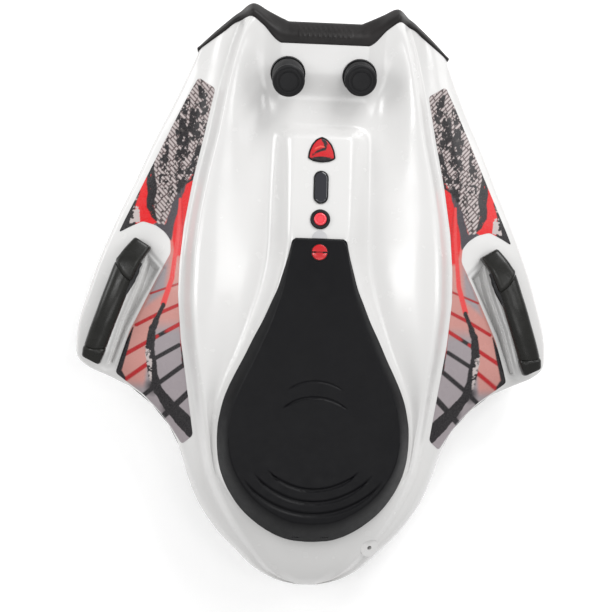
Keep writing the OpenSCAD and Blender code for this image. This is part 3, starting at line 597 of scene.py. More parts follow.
def rubber_shader(name, color, other, grain=0.0006, rough=(0.42, 0.62), depth=0.00006):
    s = Shader(name, color, 0.5)
    s.vary_color(s.noise(0.03, 5), other, 0.8)
    s.vary_rough(s.noise(0.012, 4), *rough)
    s.bump(s.cells(grain), depth)
    s.bump(s.noise(0.004, 3), depth * 0.8)
    return s


def metal_shader(name, color, rough=0.3, stretch=(1, 1, 14)):
    s = Shader(name, color, rough, metallic=1.0)
    s.vary_rough(s.noise(0.002, 4, 0.6, stretch), rough - 0.08, rough + 0.1)
    s.vary_color(s.noise(0.02, 4), tuple(c * 0.8 for c in color), 0.6)
    s.bump(s.noise(0.0007, 3, 0.6, stretch), 0.00001)
    return s


white = gloss_shader("white_shell", (0.68, 0.675, 0.668), (0.63, 0.626, 0.62))
white_low = gloss_shader("white_hull", (0.66, 0.655, 0.65), (0.61, 0.606, 0.6))
bumper_rubber = rubber_shader(
    "bumper_rubber", (0.009, 0.008, 0.008), (0.015, 0.013, 0.013), 0.0009, (0.36, 0.5))
grip_rubber = rubber_shader(
    "grip_rubber", (0.008, 0.008, 0.007), (0.014, 0.014, 0.012), 0.0007, (0.22, 0.32), 0.00001)
plug_rubber = rubber_shader(
    "plug_rubber", (0.007, 0.007, 0.008), (0.012, 0.012, 0.013), 0.0008, (0.38, 0.5))
lid_plastic = rubber_shader(
    "lid_plastic", (0.003, 0.003, 0.004), (0.005, 0.005, 0.006), 0.0008, (0.36, 0.46), 0.00004)
black_plastic = rubber_shader(
    "black_plastic", (0.007, 0.007, 0.008), (0.012, 0.012, 0.013), 0.0005, (0.3, 0.42), 0.00002)
grey_plastic = rubber_shader(
    "grey_plastic", (0.52, 0.52, 0.53), (0.47, 0.47, 0.48), 0.0005, (0.4, 0.5), 0.00002)
red_gloss = gloss_shader("red_gloss", (0.52, 0.004, 0.009), (0.44, 0.003, 0.007))
red_lamp = gloss_shader("red_lamp", (0.78, 0.05, 0.07), (0.7, 0.03, 0.05))
red_gloss.set("Coat Weight", 0.25)
steel = metal_shader("steel", (0.58, 0.59, 0.6))
aluminium = metal_shader("aluminium", (0.68, 0.69, 0.7), 0.36, (14, 1, 1))
brass = metal_shader("brass", (0.72, 0.53, 0.22), 0.32)
seal_foam = rubber_shader("seal_foam", (0.02, 0.02, 0.02), (0.03, 0.03, 0.03), 0.001, (0.7, 0.85))
cable_jacket = rubber_shader(
    "cable_jacket", (0.62, 0.2, 0.02), (0.55, 0.17, 0.02), 0.0006, (0.4, 0.55), 0.00002)
board_green = gloss_shader("circuit_board", (0.01, 0.13, 0.05), (0.01, 0.1, 0.04))
dark_glass = Shader("dark_glass", (0.006, 0.006, 0.012), 0.08, coat=1.0, coat_rough=0.02)
dark_glass.vary_rough(dark_glass.noise(0.01, 4), 0.05, 0.12)
dark_glass.bump(dark_glass.noise(0.02, 2), 0.00001)
for shader, level in (
        (bumper_rubber, 0.24), (grip_rubber, 0.34), (plug_rubber, 0.26), (lid_plastic, 0.15),
        (black_plastic, 0.24)):
    shader.set("Specular IOR Level", level)


def painted_film():
    s = Shader("printed_film", (0.5, 0.5, 0.5), 0.26, coat=0.12, coat_rough=0.06)
    s.set("Specular IOR Level", 0.25)
    ink = s.node("ShaderNodeAttribute", attribute_name="ink")
    s.vary_color(s.noise(0.0016, 3), (0.3, 0.28, 0.28), 0.12, ink.outputs["Color"])
    s.vary_rough(s.noise(0.015, 4), 0.2, 0.34)
    s.bump(s.noise(0.0025, 3), 0.00003)
    return s


film = painted_film()


def paint(obj, shader):
    obj.data.materials.clear()
    obj.data.materials.append(shader.mat)


def finish_piece(obj, shader, slot, *nodes, body="board"):
    paint(obj, shader)
    if nodes:
        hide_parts(*nodes)
    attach(obj, body)


finish_piece(deck, white, "gloss_white", "deck_shell", "pod_cups")
finish_piece(hull, white_low, "gloss_white", "hull_shell")

# ---- printed decals ----

DECAL = [
    (164, 318), (190, 334), (206, 306), (228, 262), (252, 212), (276, 162), (299, 114), (307, 96),
    (290, 105), (270, 114), (249, 108), (235, 98), (226, 86), (225, 66), (246, 26), (285, -55), (306, -121),
    (290, -133), (262, -153), (238, -177), (217, -204), (200, -228), (183, -213), (188, -180), (196, -128),
    (206, -64), (212, 3), (211, 52), (206, 108), (194, 180), (179, 247)]
DECAL_HIGH, DECAL_LOW = 0.45, 0.4
INK_BLACK, INK_RED, DEEP_RED = (0.006, 0.005, 0.007), (0.68, 0.003, 0.006), (0.42, 0.004, 0.008)
SALMON, PALE_GREY, DARK_GREY = (0.54, 0.25, 0.22), (0.31, 0.275, 0.29), (0.055, 0.05, 0.06)
HATCH_LIGHT, HATCH_DARK = (0.50, 0.44, 0.43), (0.10, 0.07, 0.07)
HATCH_PITCH, DASH_PITCH = 5.0, 17


def hashed(ix, iy, seed):
    n = np.sin(ix * 127.1 + iy * 311.7 + seed * 74.7) * 43758.5453
    return n - np.floor(n)


def value_noise(x, y, size, seed):
    gx, gy = x / size, y / size
    ix, iy = np.floor(gx), np.floor(gy)
    fx, fy = ease(gx - ix), ease(gy - iy)
    a, b = hashed(ix, iy, seed), hashed(ix + 1, iy, seed)
    c, d = hashed(ix, iy + 1, seed), hashed(ix + 1, iy + 1, seed)
    return (a * (1 - fx) + b * fx) * (1 - fy) + (c * (1 - fx) + d * fx) * fy


def layered_noise(x, y, size, seed):
    return (value_noise(x, y, size, seed) * 0.55 + value_noise(x, y, size / 2.1, seed + 1) * 0.28
            + value_noise(x, y, size / 4.3, seed + 2) * 0.17)


def path_distance(x, y, points):
    """Distance to an open path and how far along it, from 0 to 1."""
    best, along = np.full(x.shape, 1e9), np.zeros(x.shape)
    lengths = [math.dist(points[i], points[i + 1]) for i in range(len(points) - 1)]
    total, done = sum(lengths), 0.0
    for i, length in enumerate(lengths):
        (ax, ay), (bx, by) = points[i], points[i + 1]
        t = np.clip(((x - ax) * (bx - ax) + (y - ay) * (by - ay)) / length**2, 0, 1)
        d = np.hypot(x - ax - t * (bx - ax), y - ay - t * (by - ay))
        closer = d < best
        best = np.where(closer, d, best)
        along = np.where(closer, (done + t * length) / total, along)
        done += length
    return best, along


def mixed(base, color, amount):
    """Colours moved towards another one, by an amount from 0 to 1 at each point."""
    m = np.clip(amount, 0, 1)[..., None]
    return base * (1 - m) + np.array(color) * m


def ink_colors(x, y):
    """Colours of the print at plan points of the right wing, x measured outwards."""
    wx = x + 5 * (layered_noise(x, y, 14, 3) - 0.5)
    wy = y + 9 * (layered_noise(x, y, 17, 9) - 0.5)
    out = np.empty(x.shape + (3,))
    out[:] = SALMON

    def lay(mask, color):
        out[:] = mixed(out, color, mask)

    def band(points, half, soft=0.8, rough=0.0):
        d, t = path_distance(x, y, points)
        half = half(t) if callable(half) else half
        return (half + rough * (layered_noise(x, y, 6, 21) - 0.5) - d) / soft + 0.5, t

    def area(corners, soft=0.8, rough=False):
        return 0.5 - polygon_distance(wx if rough else x, wy if rough else y, corners) / soft

    # rear cells: paler beside the deck and towards the tail
    lay(ease((60 - y) / 40) * ease((250 - x + (y + 20) * -0.12) / 8) * ease((-30 - y) / 30), PALE_GREY)
    lay(ease((-128 - y) / 20), PALE_GREY)
    lay(area([(246, 30), (226, 62), (232, 5), (262, -18)], 6) * 0.8, PALE_GREY)
    # pink wash under the strip beside the deck
    lay(ease((y - 40) / 60) * 0.75, (0.68, 0.10, 0.09))
    # front field of slanted hatching
    field = [
        (150, 345), (200, 345), (262, 205), (262, 150), (250, 100), (238, 104), (216, 160), (186, 200),
        (176, 240)]
    row = (y * 0.68 - x * 0.73) / HATCH_PITCH
    stripe = np.abs(row % 1 - 0.5) * 2
    dash = (x * 0.68 + y * 0.73) / DASH_PITCH + hashed(np.floor(row), 0 * x, 8) * 7
    stripe = np.where(np.abs(dash % 1 - 0.5) > 0.44, 1.0, stripe)
    hatch = mixed(np.array(HATCH_LIGHT), HATCH_DARK, ease((stripe - 0.5) / 0.2))
    speck = layered_noise(x, y * 0.7, 5, 44)
    hatch = hatch * np.where(speck > 0.7, 0.12, 1.0)[..., None]
    lay(area(field, 1.5), hatch)
    # dark grey band between the hatching and the red strip
    lay(area([
        (196, 182), (214, 168), (236, 108), (252, 112), (246, 100), (226, 84), (216, 120), (206, 158)],
        1.5, True), DARK_GREY)
    # red strip along the deck, fading towards the rear
    lay(area([
        (180, 205), (192, 192), (204, 168), (214, 136), (221, 108), (224, 84), (216, 60), (205, 60),
        (200, 120)], 2.0, True) * ease((y - 30) / 70), INK_RED)
    lay(area([(206, 110), (211, 160), (207, 90), (204, 40)], 2, True) * 0.7, DEEP_RED)
    # outer red wedge and its black edge
    lay(area([
        (270, 215), (257, 205), (257, 180), (260, 160), (252, 133), (248, 112), (270, 104), (312, 92)],
        1.5), INK_RED)
    lay(area([
        (276, 176), (276, 158), (281, 138), (284, 122), (281, 110), (290, 102), (314, 88), (314, 124)],
        1.5, True), INK_BLACK)
    chips = layered_noise(x * 0.8, y * 1.1, 7, 61)
    wedge = [(268, 165), (276, 140), (274, 112), (292, 106), (282, 150)]
    lay(np.where(polygon_distance(x, y, wedge) < 0, (chips - 0.56) / 0.03, 0), HATCH_LIGHT)
    # black strokes over the hatching: points, half width, share torn away, seed
    for points, half, torn, seed in (
            ([(258, 212), (259, 184), (256, 158), (259, 138), (250, 116)], 5, 0.2, 5),
            ([(187, 322), (179, 298), (184, 280), (190, 262), (188, 240)], 6, 0.44, 7),
            ([(204, 306), (214, 270), (212, 240), (215, 206), (216, 160)], 6.5, 0.43, 11),
            ([(172, 268), (182, 226), (190, 196), (218, 160)], 6.5, 0.42, 13),
            ([(236, 250), (240, 215), (238, 190), (243, 150)], 5.5, 0.56, 17),
            ([(196, 290), (198, 262), (200, 236), (203, 210)], 4, 0.5, 19)):
        d, t = path_distance(wx, wy, points)
        reach = half * (0.5 + np.sin(np.pi * np.clip(t, 0, 1)))
        whole = np.clip((layered_noise(x, y, 5, seed) - torn) / 0.05, 0, 1)
        lay(((reach - d) / 1.2 + 0.5) * whole, INK_BLACK)
    # slanted bars: points, half width, how red the start is and where the outer red begins
    for points, half, red_start, red_from in (
            ([(209, 20), (254, 3)], 1.8, 1.0, 1.0),
            ([(208, -12), (240, -27), (275, -46)], 2.6, 1.0, 1.0),
            ([(207, -42), (243, -63), (295, -94)], 3.0, 0.8, 0.35),
            ([(208, -75), (242, -95), (300, -138)], 3.2, 0.0, 0.45),
            ([(196, -102), (236, -133), (268, -160)], 3.6, 0.0, 0.0),
            ([(188, -144), (210, -166), (240, -196)], 4.6, 0.0, 0.0)):
        m, t = band(points, half)
        faded = 0.45 if half < 2 else 1.0
        lay(m * faded, INK_BLACK)
        outer = 0 < red_from < 1
        lay(m * faded * (ease((t - red_from) / 0.08) if outer else red_start), DEEP_RED)
        if outer and red_start:
            lay(m * ease((0.3 - t) / 0.15) * red_start, DEEP_RED)
    # edge line, stem and pod band
    m, t = band([(207, 19), (208, -22), (204, -68), (200, -104)], lambda t: 1.0 + 1.6 * t)
    lay(m, DEEP_RED)
    lay(m * ease((t - 0.7) / 0.2), INK_BLACK)
    m, t = band([(213, 149), (214, 100), (222, 27), (234, -12)], lambda t: 2.0 + 2.4 * t)
    lay(m * 0.8, (0.72, 0.05, 0.05))
    stem = [
        (234, -14), (242, -32), (250, -52), (253, -80), (247, -123), (239, -145), (221, -168), (203, -186),
        (184, -204)]
    m, t = band(stem, lambda t: 3.2 + 4.2 * ease(t * 3) + 5.0 * ease((t - 0.6) / 0.4), rough=2.5)
    lay(m, INK_BLACK)
    chips = layered_noise(x, y, 5, 71)
    lay(np.where((m > 0.5) & (y < -76) & (y > -132) & (x > 249), (chips - 0.52) / 0.03, 0), HATCH_LIGHT)
    for nx, ny in ((247, -141), (221, -172)):
        lay(1.2 - np.hypot(wx - nx, wy - ny) / 13, INK_BLACK)
    m, t = band([(280, -50), (291, -82), (305, -118), (300, -130)], lambda t: 0.8 + 9 * t)
    lay(m, INK_BLACK)
    return out


def add_ink(obj, colors, matrix=Matrix.Identity(4)):
    """Paints a mesh's corners with the colours of its plan points, measured in the matrix's own frame."""
    back = np.array(matrix.inverted())
    co = np.zeros(len(obj.data.vertices) * 3)
    obj.data.vertices.foreach_get("co", co)
    co = (co.reshape(-1, 3) @ back[:3, :3].T + back[:3, 3]) / MM
    rgb = colors(co[:, 0], co[:, 1])
    ink = obj.data.color_attributes.new("ink", "FLOAT_COLOR", "POINT")
    ink.data.foreach_set("color", np.concatenate([rgb, np.ones((len(rgb), 1))], 1).ravel())


def build_decal(name, side):
    ys = np.arange(-236, 342, 1.0)
    q = np.linspace(4.0, 4.98, 136)
    q = -q[::-1] if side < 0 else q
    base = shell_grid(q, ys, deck_surface)
    top, low = base.copy(), base.copy()
    top[..., 2] += DECAL_HIGH
    low[..., 2] -= DECAL_LOW
    piece = sheet_solid(name, top, low)
    outline = [(side * x, y) for x, y in rounded(DECAL, 5)]
    cut(piece, [prism(outline, 60, 200)], "INTERSECT")
    add_ink(piece, lambda x, y: ink_colors(np.abs(x), y))
    autosmooth(piece, 50)
    finish_piece(piece, film, "print_film", name)


def rounded(corners, radius, steps=4):
    """Rounds the corners of an outline, using less than half of each side."""
    pts = [np.array(c, float) for c in corners]
    out, n = [], len(pts)
    for i in range(n):
        p, a, b = pts[i], pts[i - 1], pts[(i + 1) % n]
        start, end = (p + (c - p) * min(radius / np.linalg.norm(c - p), 0.45) for c in (a, b))
        for k in range(steps + 1):
            t = k / steps
            out.append(tuple((1 - t) ** 2 * start + 2 * t * (1 - t) * p + t * t * end))
    return out


for name, side in SIDES:
    build_decal(name + "_decal", side)

# ---- battery lid ----

lid_w = smooth_table([
    (-367.5, 5), (-366.5, 21), (-361.5, 43), (-352, 64), (-338, 85), (-320, 105), (-299, 121), (-279, 132),
    (-257, 140), (-236, 144), (-212, 145.5), (-194, 145), (-174, 142), (-156, 138), (-136, 131), (-112, 120),
    (-88, 108), (-60, 95), (-32, 81), (-6, 70), (18, 60), (42, 53), (63, 47), (80, 43), (88, 41), (91.5, 36)])
lid_top = smooth_table([
    (-367.5, 184), (-345, 186), (-300, 190), (-208, 193), (-100, 193), (0, 190), (91.5, 186)])
lid_bevel = smooth_table([(-367.5, 38), (-300, 28), (-208, 18), (-80, 16), (0, 10), (60, 4), (91.5, 2.5)])


# half span, apex y, end y, depth and half width of each groove pressed into the lid
GROOVES = [
    (44, -122, -137, 1.2, 1.8), (52, -146, -166, 1.6, 2.1), (71, -284, -253, 2.5, 2.9),
    (92, -303, -257, 2.6, 3.3), (108, -321, -265, 2.6, 3.5)]


def groove_depth(x, y):
    total = np.zeros(np.shape(x))
    for span, apex, end, depth, half in GROOVES:
        # the circle through both ends and the apex has its centre on the middle line
        cy = (span**2 + end**2 - apex**2) / (2 * (end - apex))
        side = 1 if apex > cy else -1
        d = np.hypot(x, y - cy) - abs(apex - cy)
        along = np.clip(1 - np.abs(x) / span, 0, 1)
        half_here = half * (0.35 + 0.65 * np.minimum(1, along * 2.2))
        near = (side * (y - cy) > 0) & (np.abs(x) < span)
        pressed = depth * ease(along * 5) * ease(1.3 - np.abs(d) / half_here)
        total = np.maximum(total, np.where(near, pressed, 0))
    return total


lid_rows = spans((-367.5, -352, 8), (-352, 91.5, 46))
LID_EDGE = [(float(lid_w(y)), y) for y in lid_rows] + [(-float(lid_w(y)), y) for y in lid_rows[::-1]]


def lid_surface(x, y):
    low, high = platform_z(y) + 3.5, lid_top(y)
    t = np.clip(-polygon_distance(x, y, LID_EDGE) / lid_bevel(y), 0, 1)
    return low + (high - low) * (0.55 * t + 0.45 * np.sin(math.pi / 2 * t)) - groove_depth(x, y) - 0.1


def build_lid():
    fine = lambda y: -352 < y < -248 or -170 < y < -118
    ys = np.concatenate([np.linspace(-367.4, -352, 12)[:-1], rows_between((-352, 80), 2.4, fine)[:-1],
                         np.linspace(80, 91.9, 10)])
    tt, yy = np.meshgrid(mirrored(spans((0, 0.8, 68), (0.8, 1, 32))), ys)
    x = tt * lid_w(yy) * 0.999
    top = np.stack([x, yy, lid_surface(x, yy)], -1)
    low = np.stack([x, yy, platform_z(yy) + 0.7], -1)
    lid = sheet_solid("lid_shell", top, low)
    slots = [prism(box_points(x - 5, x + 5, -360, -334), 130, 161.8) for x in (-22, 22)]
    cut(lid, [cylinder_cut(13.9, 184.4, 220, LOCK)] + slots)
    return autosmooth(lid, 32)


finish_piece(build_lid(), lid_plastic, "lid_plastic", "battery_lid", body="lid")

lock_cap = placed(lathe("lock_cap", [
    (0, 185.2), (11.2, 185.2), (11.7, 185.6), (11.7, 187.6), (11.3, 188.3), (10.6, 188.6), (4, 188.7),
    (0, 188.7)]), LOCK)
cut(lock_cap, [placed(prism(box_points(-20, 20, -1.2, 1.2), 185.6, 192), LOCK)])
finish_piece(autosmooth(lock_cap, 30), red_gloss, "red_plastic", "lid_lock", body="lid_lock_knob")
# Black collar round the red knob. Its inner flange lies inside the knob and shows only through the slot, as a
# black floor there: painted shade that stands in for the shadow in the slot.
lock_collar_slot_shade = placed(lathe("lock_collar_slot_shade", [
    (5, 184.75), (13.2, 184.75), (13.5, 185.1), (13.5, 187.2), (13, 187.8), (12.2, 187.9), (11.9, 187.5),
    (11.9, 186), (5, 186), (5, 184.75)]), LOCK)
finish_piece(autosmooth(lock_collar_slot_shade, 30), black_plastic, "red_plastic", body="lid_lock_knob")
lock_stud = placed(lathe("lock_stud", [(0, 162.7), (4.2, 162.7), (5, 163.6), (5, 185.3), (0, 185.3)]), LOCK)
finish_piece(autosmooth(lock_stud, 30), steel, "red_plastic", body="lid_lock_knob")

# ---- nose bumper ----

# share of the way from the inner to the outer line, height over the crown, and 1 where ribs run
BUMPER_PROFILE = [
    (0.0, -4, 0), (0.0, -1.2, 0), (0.012, -0.3, 0), (0.05, 0.3, 0), (0.15, 1.4, 0), (0.28, 2.0, 1),
    (0.4, 0.9, 1), (0.52, -1.3, 1), (0.64, -4.0, 1), (0.76, -6.9, 0), (0.86, -9.4, 0), (0.93, -11.6, 0),
    (0.975, -14, 0), (1.0, -18, 0), (1.0, -24, 0)]
BUMPER_FOOT = 100.5
RIB_PITCH, RIB_HEIGHT = 7.6, 0.9


def rib_height(x, v):
    """Short slanted ribs across the middle of the bumper's top."""
    if not 0.2 < v < 0.7:
        return 0.0
    wave = np.abs((x + 24 * (v - 0.4)) / RIB_PITCH % 1 - 0.5) * 2
    return RIB_HEIGHT * ease((0.62 - wave) / 0.25) * ease((42 - abs(x)) / 2)


def build_bumper():
    knots = [0, 44, 60, 68, 80, 100, 120, 150, 193]
    steps = [1.0, 1.6, 1.0, 2.0, 2.0, 1.0, 2.5, 3.0]
    xs = [0.0]
    for (a, b), s in zip(zip(knots[:-1], knots[1:]), steps):
        xs += list(np.linspace(a, b, int((b - a) / s) + 1)[1:])
    xs = [-x for x in xs[:0:-1]] + xs
    n = len(BUMPER_PROFILE) + 2
    verts = []
    for x in xs:
        inner, outer = float(nose_line(abs(x))) + 0.5, float(bumper_line(abs(x)))
        q = float(column_of(abs(x), NOSE_Y)) if abs(x) < 190.5 else 5.0
        crown = float(deck_z(q, NOSE_Y)) + 1.5
        thin = min(1.0, (outer - inner) / 22)
        section = [(inner, BUMPER_FOOT)]
        for v, drop, ribbed in BUMPER_PROFILE:
            z = crown + drop * thin
            if ribbed:
                z += rib_height(x, v)
            section.append((inner + (outer - inner) * v, z))
        section.append((outer - 0.8, BUMPER_FOOT))
        verts += [(x * MM, y * MM, z * MM) for y, z in section]
    faces = grid_faces(len(xs), n, wrap=True) + end_caps(len(xs), n)
    return autosmooth(sealed(new_mesh("bumper_pad", verts, faces)), 40)


finish_piece(build_bumper(), bumper_rubber, "black_rubber", "front_bumper")

# ---- nose plugs and their wells ----


def build_plug(name, side, lift):
    top = 27.3 + lift
    base = top - 57
    shape = [(0, base), (23.4, base), (24.2, base + 0.8)]
    shape += [(radius, top - down) for radius, down in (
        (24.2, 6.4), (23.9, 6.0), (23.9, 5.4), (24.2, 5.0), (24.2, 3.0), (23.9, 1.8), (23.0, 0.8),
        (21.6, 0.25), (20.8, 0.2), (20.3, 0.9), (18.9, 0.9), (18.4, 0.2), (16.0, 0.15), (15.5, 1.3),
        (13.6, 1.3), (13.1, 0.1), (6, 0), (0, 0))]
    return autosmooth(placed(lathe(name, shape), well_matrix(side)), 42)


def build_well(name, side):
    shape = [
        (0, -32.8), (26.0, -32.8), (26.2, -32.4), (26.2, 1.6), (26.0, 2.5), (25.5, 3.0), (24.9, 2.9),
        (24.4, 2.2), (24.3, 1.4), (24.3, -30), (0, -30)]
    return autosmooth(placed(lathe(name, shape), well_matrix(side)), 42)


PLUG_LIFT = {"left": 20, "right": 0}
for name, side in SIDES:
    plug = build_plug(name + "_plug_body", side, PLUG_LIFT[name])
    finish_piece(plug, plug_rubber, "black_rubber", name + "_plug", body=name + "_nose_plug")
    well = build_well(name + "_well_cup", side)
    finish_piece(well, black_plastic, "black_plastic", name + "_well")

# ---- console ----

BADGE_OUTLINE = [
    (0, 20.4), (-8.6, 16.2), (-15.4, 8), (-19.4, -2), (-21.3, -13.8), (-12, -18.4), (0, -20.1), (12, -18.4),
    (21.3, -13.8), (19.4, -2), (15.4, 8), (8.6, 16.2)]


def on_console(obj, y):
    return placed(obj, console_matrix(y))


badge_line = rounded(BADGE_OUTLINE, 3, 5)
badge_rim = on_console(ring_solid("badge_rim", badge_line, [
    (0.1, 0.1), (0.1, 1.3), (0.5, 1.9), (1.1, 2.1), (2.0, 2.1), (2.3, 1.7), (2.3, 0.5)]), BADGE_Y)
finish_piece(badge_rim, black_plastic, "red_plastic", "badge")
dome_steps = [(1.0, 0.4), (1.0, 1.2), (0.97, 1.55)]
dome_steps += [(k, 2.3 - 0.7 * k * k) for k in np.linspace(0.94, 0.05, 26)]
badge_dome = on_console(
    dome_solid("badge_dome", inset_loop(np.array(badge_line), 2.4), (0, -4), dome_steps), BADGE_Y)


def badge_colors(x, y):
    """Red field with a dark curved sweep and a dark foot; an invented design."""
    out = np.empty(x.shape + (3,))
    out[:] = (0.55, 0.006, 0.012)
    sweep, t = path_distance(x, y, [(2, 16), (6, 8), (4, 1), (-6, -3), (-14, -9)])
    foot = np.clip((-10.5 - y - 0.012 * x * x) / 0.6, 0, 1)
    out = mixed(out, (0.012, 0.008, 0.01), np.clip((3.2 - 2 * t - sweep) / 0.6 + 0.5, 0, 1) + foot)
    flash = path_distance(x, y, [(-10, 1), (-2, 5), (3, 4)])[0]
    return mixed(out, (0.75, 0.09, 0.06), (1.1 - flash) / 0.6 + 0.5)


add_ink(badge_dome, badge_colors, console_matrix(BADGE_Y))
finish_piece(badge_dome, film, "red_plastic")

display_ring = on_console(ring_solid("display_ring", stadium_points(22.5, 50.5), [
    (0.0, 0.1), (0.0, 1.4), (0.5, 2.0), (1.2, 2.3), (1.8, 2.3), (2.2, 1.9), (2.2, 1.0)]), DISPLAY_Y)
finish_piece(display_ring, black_plastic, "black_plastic", "display_bezel")
display_glass = on_console(ring_solid("display_glass", stadium_points(18.2, 46.2), [
    (0.0, 1.02), (0.0, 1.7), (0.4, 2.0), (1.4, 2.12), (3.0, 2.12)]), DISPLAY_Y)
finish_piece(display_glass, dark_glass, "dark_glass", "display_lens")

button_ring = on_console(lathe("button_ring", [
    (9.6, 0.1), (14.6, 0.1), (15, 0.5), (15, 1.8), (14.5, 2.6), (13.4, 3.1), (11.2, 3.15), (10.0, 2.7),
    (9.6, 2.0), (9.6, 0.1)]), BUTTON_Y)
finish_piece(autosmooth(button_ring, 40), black_plastic, "black_plastic", "button_bezel")
cap = on_console(lathe("button_top", [
    (0, -3), (9.2, -3), (9.5, -2.7), (9.5, 3.2), (9.2, 3.9), (8.3, 4.5), (6.2, 4.6), (5.7, 4.1),
    (5.0, 4.1), (4.6, 4.5), (0, 4.55)]), BUTTON_Y)
finish_piece(autosmooth(cap, 40), red_lamp, "red_plastic", "button_cap", body="power_button")


def build_coil(name, radius, wire, low, high, turns, sides=8, steps=30):
    """Wound spring about the z axis between two heights."""
    verts = []
    count = turns * steps
    for i in range(count + 1):
        a = 2 * math.pi * i / steps
        z = low + wire + (high - low - 2 * wire) * i / count
        for k in range(sides):
            b = 2 * math.pi * k / sides
            r = radius + wire * math.cos(b)
            verts.append((r * math.cos(a) * MM, r * math.sin(a) * MM, (z + wire * math.sin(b)) * MM))
    faces = grid_faces(count + 1, sides, wrap=True) + end_caps(count + 1, sides)
    return sealed(new_mesh(name, verts, faces))


SPRING_LOW, SPRING_HIGH, BUTTON_TRAVEL = -8.9, -3.3, 2.2
button_coil = on_console(build_coil("button_coil", 4.5, 0.4, SPRING_LOW, SPRING_HIGH, 4), BUTTON_Y)
finish_piece(button_coil, steel, "steel", "button_spring")
console_matrix(BUTTON_Y).to_3x3() @ Vector((0, 0, 1))
console_matrix(BUTTON_Y) @ Vector((0, 0, SPRING_LOW * MM))
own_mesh(button_coil)

# ---- hand grips ----

# outer edge x, y, inner edge x, y and height of the bar's middle, front to rear, for the left side
GRIP_STATIONS = [
    (-279.5, 88.5, -254, 73, 130), (-288, 78.5, -260, 63.5, 134), (-297, 67, -266.5, 53.5, 137.5),
    (-305, 54, -273, 41, 139.5), (-312, 38, -279, 28, 140), (-324, 6, -289, -2, 139.5),
    (-337, -32, -302, -38, 136), (-347, -60, -313, -68, 130.5), (-352.5, -78, -320, -88, 126),
    (-356, -95.5, -329, -108.5, 120)]
# where the end blocks meet the bar, as shares of its length, and how each seam leans and bows
SEAMS = (0.27, 0.885)
SEAM_SLANT = (11, -3)
SEAM_BOW = (4, 4)


def grip_section(a, b, power, n=40):
    pts = []
    for i in range(n):
        t = 2 * math.pi * i / n
        c, s = math.cos(t), math.sin(t)
        pts.append((a * math.copysign(abs(c) ** (2 / power), c), b * math.copysign(abs(s) ** (2 / power), s)))
    return pts


def build_grip(name, side):
    data = np.array(GRIP_STATIONS, float)
    mids = (data[:, 0:2] + data[:, 2:4]) / 2
    run = np.concatenate([[0], np.cumsum(np.linalg.norm(np.diff(mids, axis=0), axis=1))])
    run /= run[-1]
    tables = [smooth_table(list(zip(run, data[:, k]))) for k in range(5)]
    fine = [np.linspace(s - 0.012, s + 0.012, 9) for s in SEAMS]
    ts = np.unique(np.concatenate([np.linspace(0, 1, 90)] + fine))
    rings = []
    for t in ts:
        ox, oy, ix, iy, z = (float(f(t)) for f in tables)
        across = np.array([ix - ox, iy - oy])
        half = np.linalg.norm(across) / 2
        across /= 2 * half
        block = max(float(ease((SEAMS[0] - t) / 0.03)), float(ease((t - SEAMS[1]) / 0.03)))
        seam = sum(0.9 * max(0, 1 - abs(t - s) / 0.006) for s in SEAMS)
        end = min(t, 1 - t)
        round_end = 1.4 * (1 - math.sqrt(1 - max(0, 1 - end / 0.012) ** 2)) if end < 0.012 else 0
        shrink = seam + round_end + 0.5 * (1 - block)
        ring = grip_section(half - shrink, 11.6 - shrink + 0.4 * block, 2.3 + 1.9 * block)
        mid = np.array([(ox + ix) / 2, (oy + iy) / 2])
        along = np.array([across[1], -across[0]])
        near = [float(ease(1 - abs(t - s) / 0.11)) for s in SEAMS]
        slant = sum(k * amount for k, amount in zip(near, SEAM_SLANT))
        bow = sum(k * amount for k, amount in zip(near, SEAM_BOW))
        shift = [slant * u / half + bow * (1 - (u / half) ** 2) for u, v in ring]
        rings.append([(*(mid + across * u + along * m), z + v) for (u, v), m in zip(ring, shift)])
    n = len(rings[0])
    verts = [(-side * x * MM, y * MM, z * MM) for ring in rings for x, y, z in ring]
    faces = grid_faces(len(rings), n, wrap=True) + end_caps(len(rings), n)
    return autosmooth(sealed(new_mesh(name, verts, faces)), 28)


def at_side(side, x, y, z, turn):
    """Place of a piece beside a grip, mirrored from side to side."""
    return moved(side * x, y, z) @ turned(side * turn, "Z")


def build_foot(name, side, x, y, turn, top):
    line = rounded([(-11, -9), (11, -9), (11, 9), (-11, 9)], 4)
    foot = ring_solid(name, line, [(0.6, 80), (0, 82), (0.4, 100), (1.2, top - 2), (2.4, top)])
    return placed(foot, at_side(side, x, y, 0, turn))


for name, side in SIDES:
    grip = build_grip(name + "_grip_bar", side)
    finish_piece(grip, grip_rubber, "black_rubber", name + "_grip")
    for end, x, y, turn, top in (("front", 272, 72, 36, 128), ("rear", 338, -90, 19, 120)):
        foot = build_foot(name + "_grip_foot_" + end, side, x, y, turn, top)
        finish_piece(foot, black_plastic, "black_rubber")

TRIGGER_LINE = [
    (9.4, 23.6), (10, 30.6), (14.6, 30.6), (14.8, 23), (17.8, 16), (18.6, 6.5), (19.8, 2), (19.8, -26),
    (18.4, -31), (14, -32.6), (9.4, -32.6)]


def build_trigger(name, side):
    line = rounded([(-side * x, y) for x, y in TRIGGER_LINE], 2.2)
    if side > 0:
        line = line[::-1]
    lever = ring_solid(name, line, [(1.3, -5.5), (0.5, -5.1), (0, -4.2), (0, 4.2), (0.5, 5.1), (1.3, 5.5)])
    return placed(lever, at_side(side, 296.5, 29, 139.5, 30.76))


for name, side in SIDES:
    lever = build_trigger(name + "_trigger_lever", side)
    finish_piece(lever, black_plastic, "black_plastic", name + "_trigger", body=name + "_throttle")

# ---- parts that keep their CAD shape ----


def both(*names):
    return [side + "_" + name for side, _ in SIDES for name in names]


